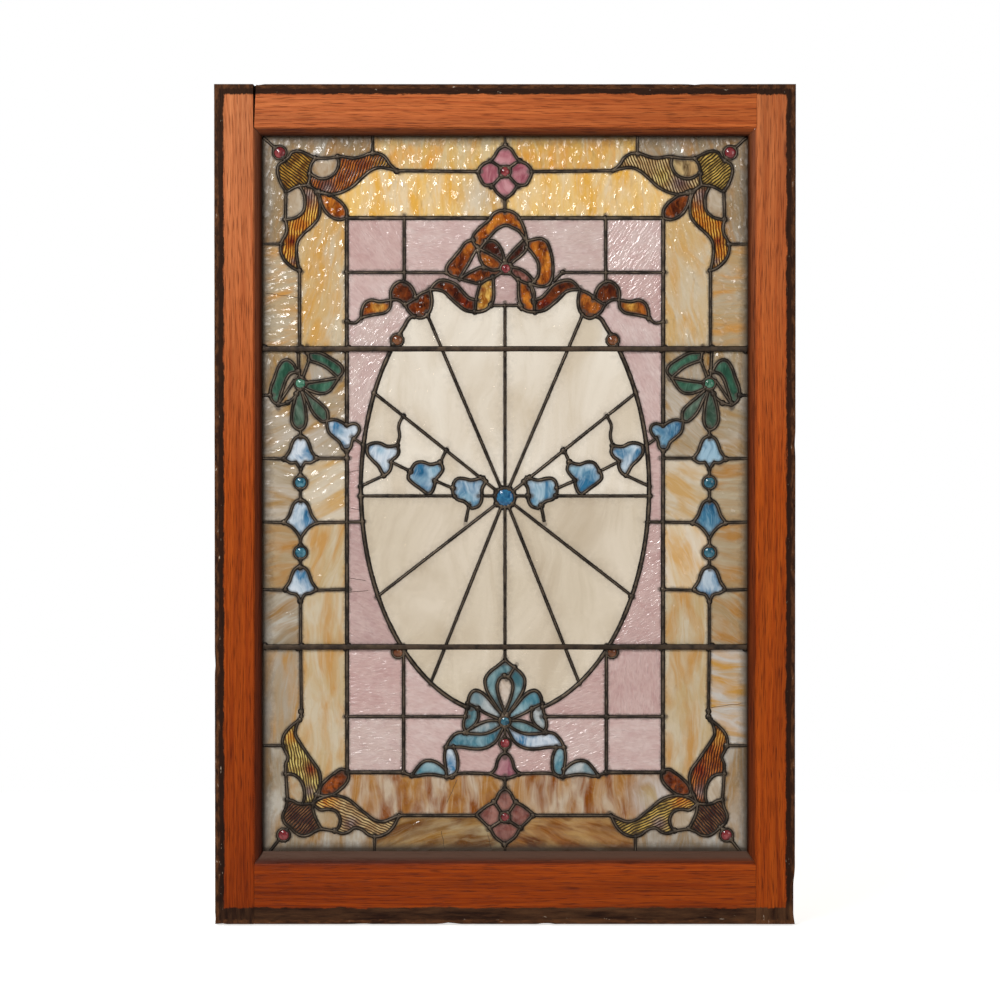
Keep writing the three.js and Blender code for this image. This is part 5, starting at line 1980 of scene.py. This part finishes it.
class WINDOW_OT_cracks(PieceOperator):
    """Draw the hairline cracks"""
    bl_idname = "window.cracks"
    bl_label = "Cracks"

    def execute(self, context):
        material, tree, shader = new_material("dirty crack")
        place = object_place(tree)
        patches = cloud(tree, place, 300.0, 3.0, 0.6)
        colour = blend(tree, patches, rgb(34, 26, 18), rgb(92, 74, 56))
        link_all(tree, shader, {"Base Color": colour})
        shader.inputs["Roughness"].default_value = 0.9
        build_cracks(material)
        return {"FINISHED"}


class WINDOW_OT_putty(PieceOperator):
    """Finish the putty that beds the panel in its rebate"""
    bl_idname = "window.putty"
    bl_label = "Glazing putty"

    def execute(self, context):
        material, tree, shader = new_material("dry putty")
        place = object_place(tree)
        lumps = cloud(tree, place, 160.0, 5.0, 0.6)
        stains = cloud(tree, place, 14.0, 3.0, 0.6)
        colour = blend(tree, lumps, rgb(150, 142, 126), rgb(186, 178, 160))
        colour = blend(tree, span(tree, stains, 0.45, 0.7), colour, rgb(104, 92, 76))
        normal = put(tree, "ShaderNodeBump", {"Height": lumps, "Distance": 0.8 * MM}).outputs[0]
        link_all(tree, shader, {"Base Color": colour, "Normal": normal})
        shader.inputs["Roughness"].default_value = 0.95
        putty = bpy.data.objects["glazing_putty"]
        for slot in putty.material_slots:
            slot.material = material
        return {"FINISHED"}


class WINDOW_OT_stage(PieceOperator):
    """Lay the floor and set up the light and the camera"""
    bl_idname = "window.stage"
    bl_label = "Stage"

    def execute(self, context):
        settings = context.scene.stage_settings
        bm = bmesh.new()
        bmesh.ops.create_grid(bm, x_segments=1, y_segments=1, size=2.0,
                              matrix=Matrix.Translation((0, 0, -0.002)))
        mesh = loose_mesh(bm, "floor")
        floor = bpy.data.objects.new("floor", mesh)
        context.scene.collection.objects.link(floor)
        material, tree, shader = new_material("pale floor")
        shader.inputs["Base Color"].default_value = rgb(240, 238, 235)
        shader.inputs["Emission Color"].default_value = rgb(255, 253, 250)
        ray = put(tree, "ShaderNodeLightPath").outputs
        seen = maths(tree, "MAXIMUM", ray["Is Camera Ray"], ray["Is Transmission Ray"])
        link_all(tree, shader, {"Emission Strength": maths(tree, "MULTIPLY", seen, 0.74)})
        shader.inputs["Roughness"].default_value = 0.9
        mesh.materials.append(material)

        context.scene.world = soft_world(settings.daylight)
        softbox("key", (-1.4, -2.6, 2.3), 0.7, settings.key)
        softbox("fill", (1.6, -2.8, 1.0), 1.2, settings.fill)
        softbox("glint", (-0.85, -3.2, 1.7), 0.6, settings.glint)
        softbox("rear_left", (-2.6, 1.8, 1.6), 1.2, settings.rear)
        softbox("rear_right", (2.6, 1.8, 1.6), 1.2, settings.rear)

        view = bpy.data.cameras.new("camera")
        view.sensor_width = 36
        view.lens = 36 * settings.distance / settings.view_width
        view.clip_start = 0.05
        camera = bpy.data.objects.new("camera", view)
        rise = settings.distance * math.tan(TILT)
        camera.location = (VIEW_MIDDLE[0], FRONT * MM / 2 - settings.distance, VIEW_MIDDLE[1] + rise)
        camera.rotation_euler = (math.pi / 2 - TILT, 0, 0)
        context.scene.collection.objects.link(camera)
        context.scene.camera = camera
        context.scene.view_settings.view_transform = "Standard"
        return {"FINISHED"}


OPERATORS = (
    WINDOW_OT_stage, WINDOW_OT_sash, WINDOW_OT_lead, WINDOW_OT_bars, WINDOW_OT_background,
    WINDOW_OT_ornament, WINDOW_OT_jewels, WINDOW_OT_cracks, WINDOW_OT_putty,
)


class WINDOW_PT_pieces(bpy.types.Panel):
    bl_label = "Stained glass window"
    bl_idname = "WINDOW_PT_pieces"
    bl_space_type = "VIEW_3D"
    bl_region_type = "UI"
    bl_category = "Window"

    def draw(self, context):
        scene = context.scene
        for settings in (scene.window_settings, scene.stage_settings):
            for name in type(settings).__annotations__:
                self.layout.prop(settings, name)
        for operator in OPERATORS:
            self.layout.operator(operator.bl_idname)


CLASSES = (WindowSettings, StageSettings, *OPERATORS, WINDOW_PT_pieces)


def register():
    for cls in CLASSES:
        bpy.utils.register_class(cls)
    bpy.types.Scene.window_settings = bpy.props.PointerProperty(type=WindowSettings)
    bpy.types.Scene.stage_settings = bpy.props.PointerProperty(type=StageSettings)


def unregister():
    del bpy.types.Scene.stage_settings
    del bpy.types.Scene.window_settings
    for cls in reversed(CLASSES):
        bpy.utils.unregister_class(cls)


def main():
    register()
    for operator in OPERATORS:
        family, action = operator.bl_idname.split(".")
        getattr(getattr(bpy.ops, family), action)()


if __name__ == "__main__":
    main()
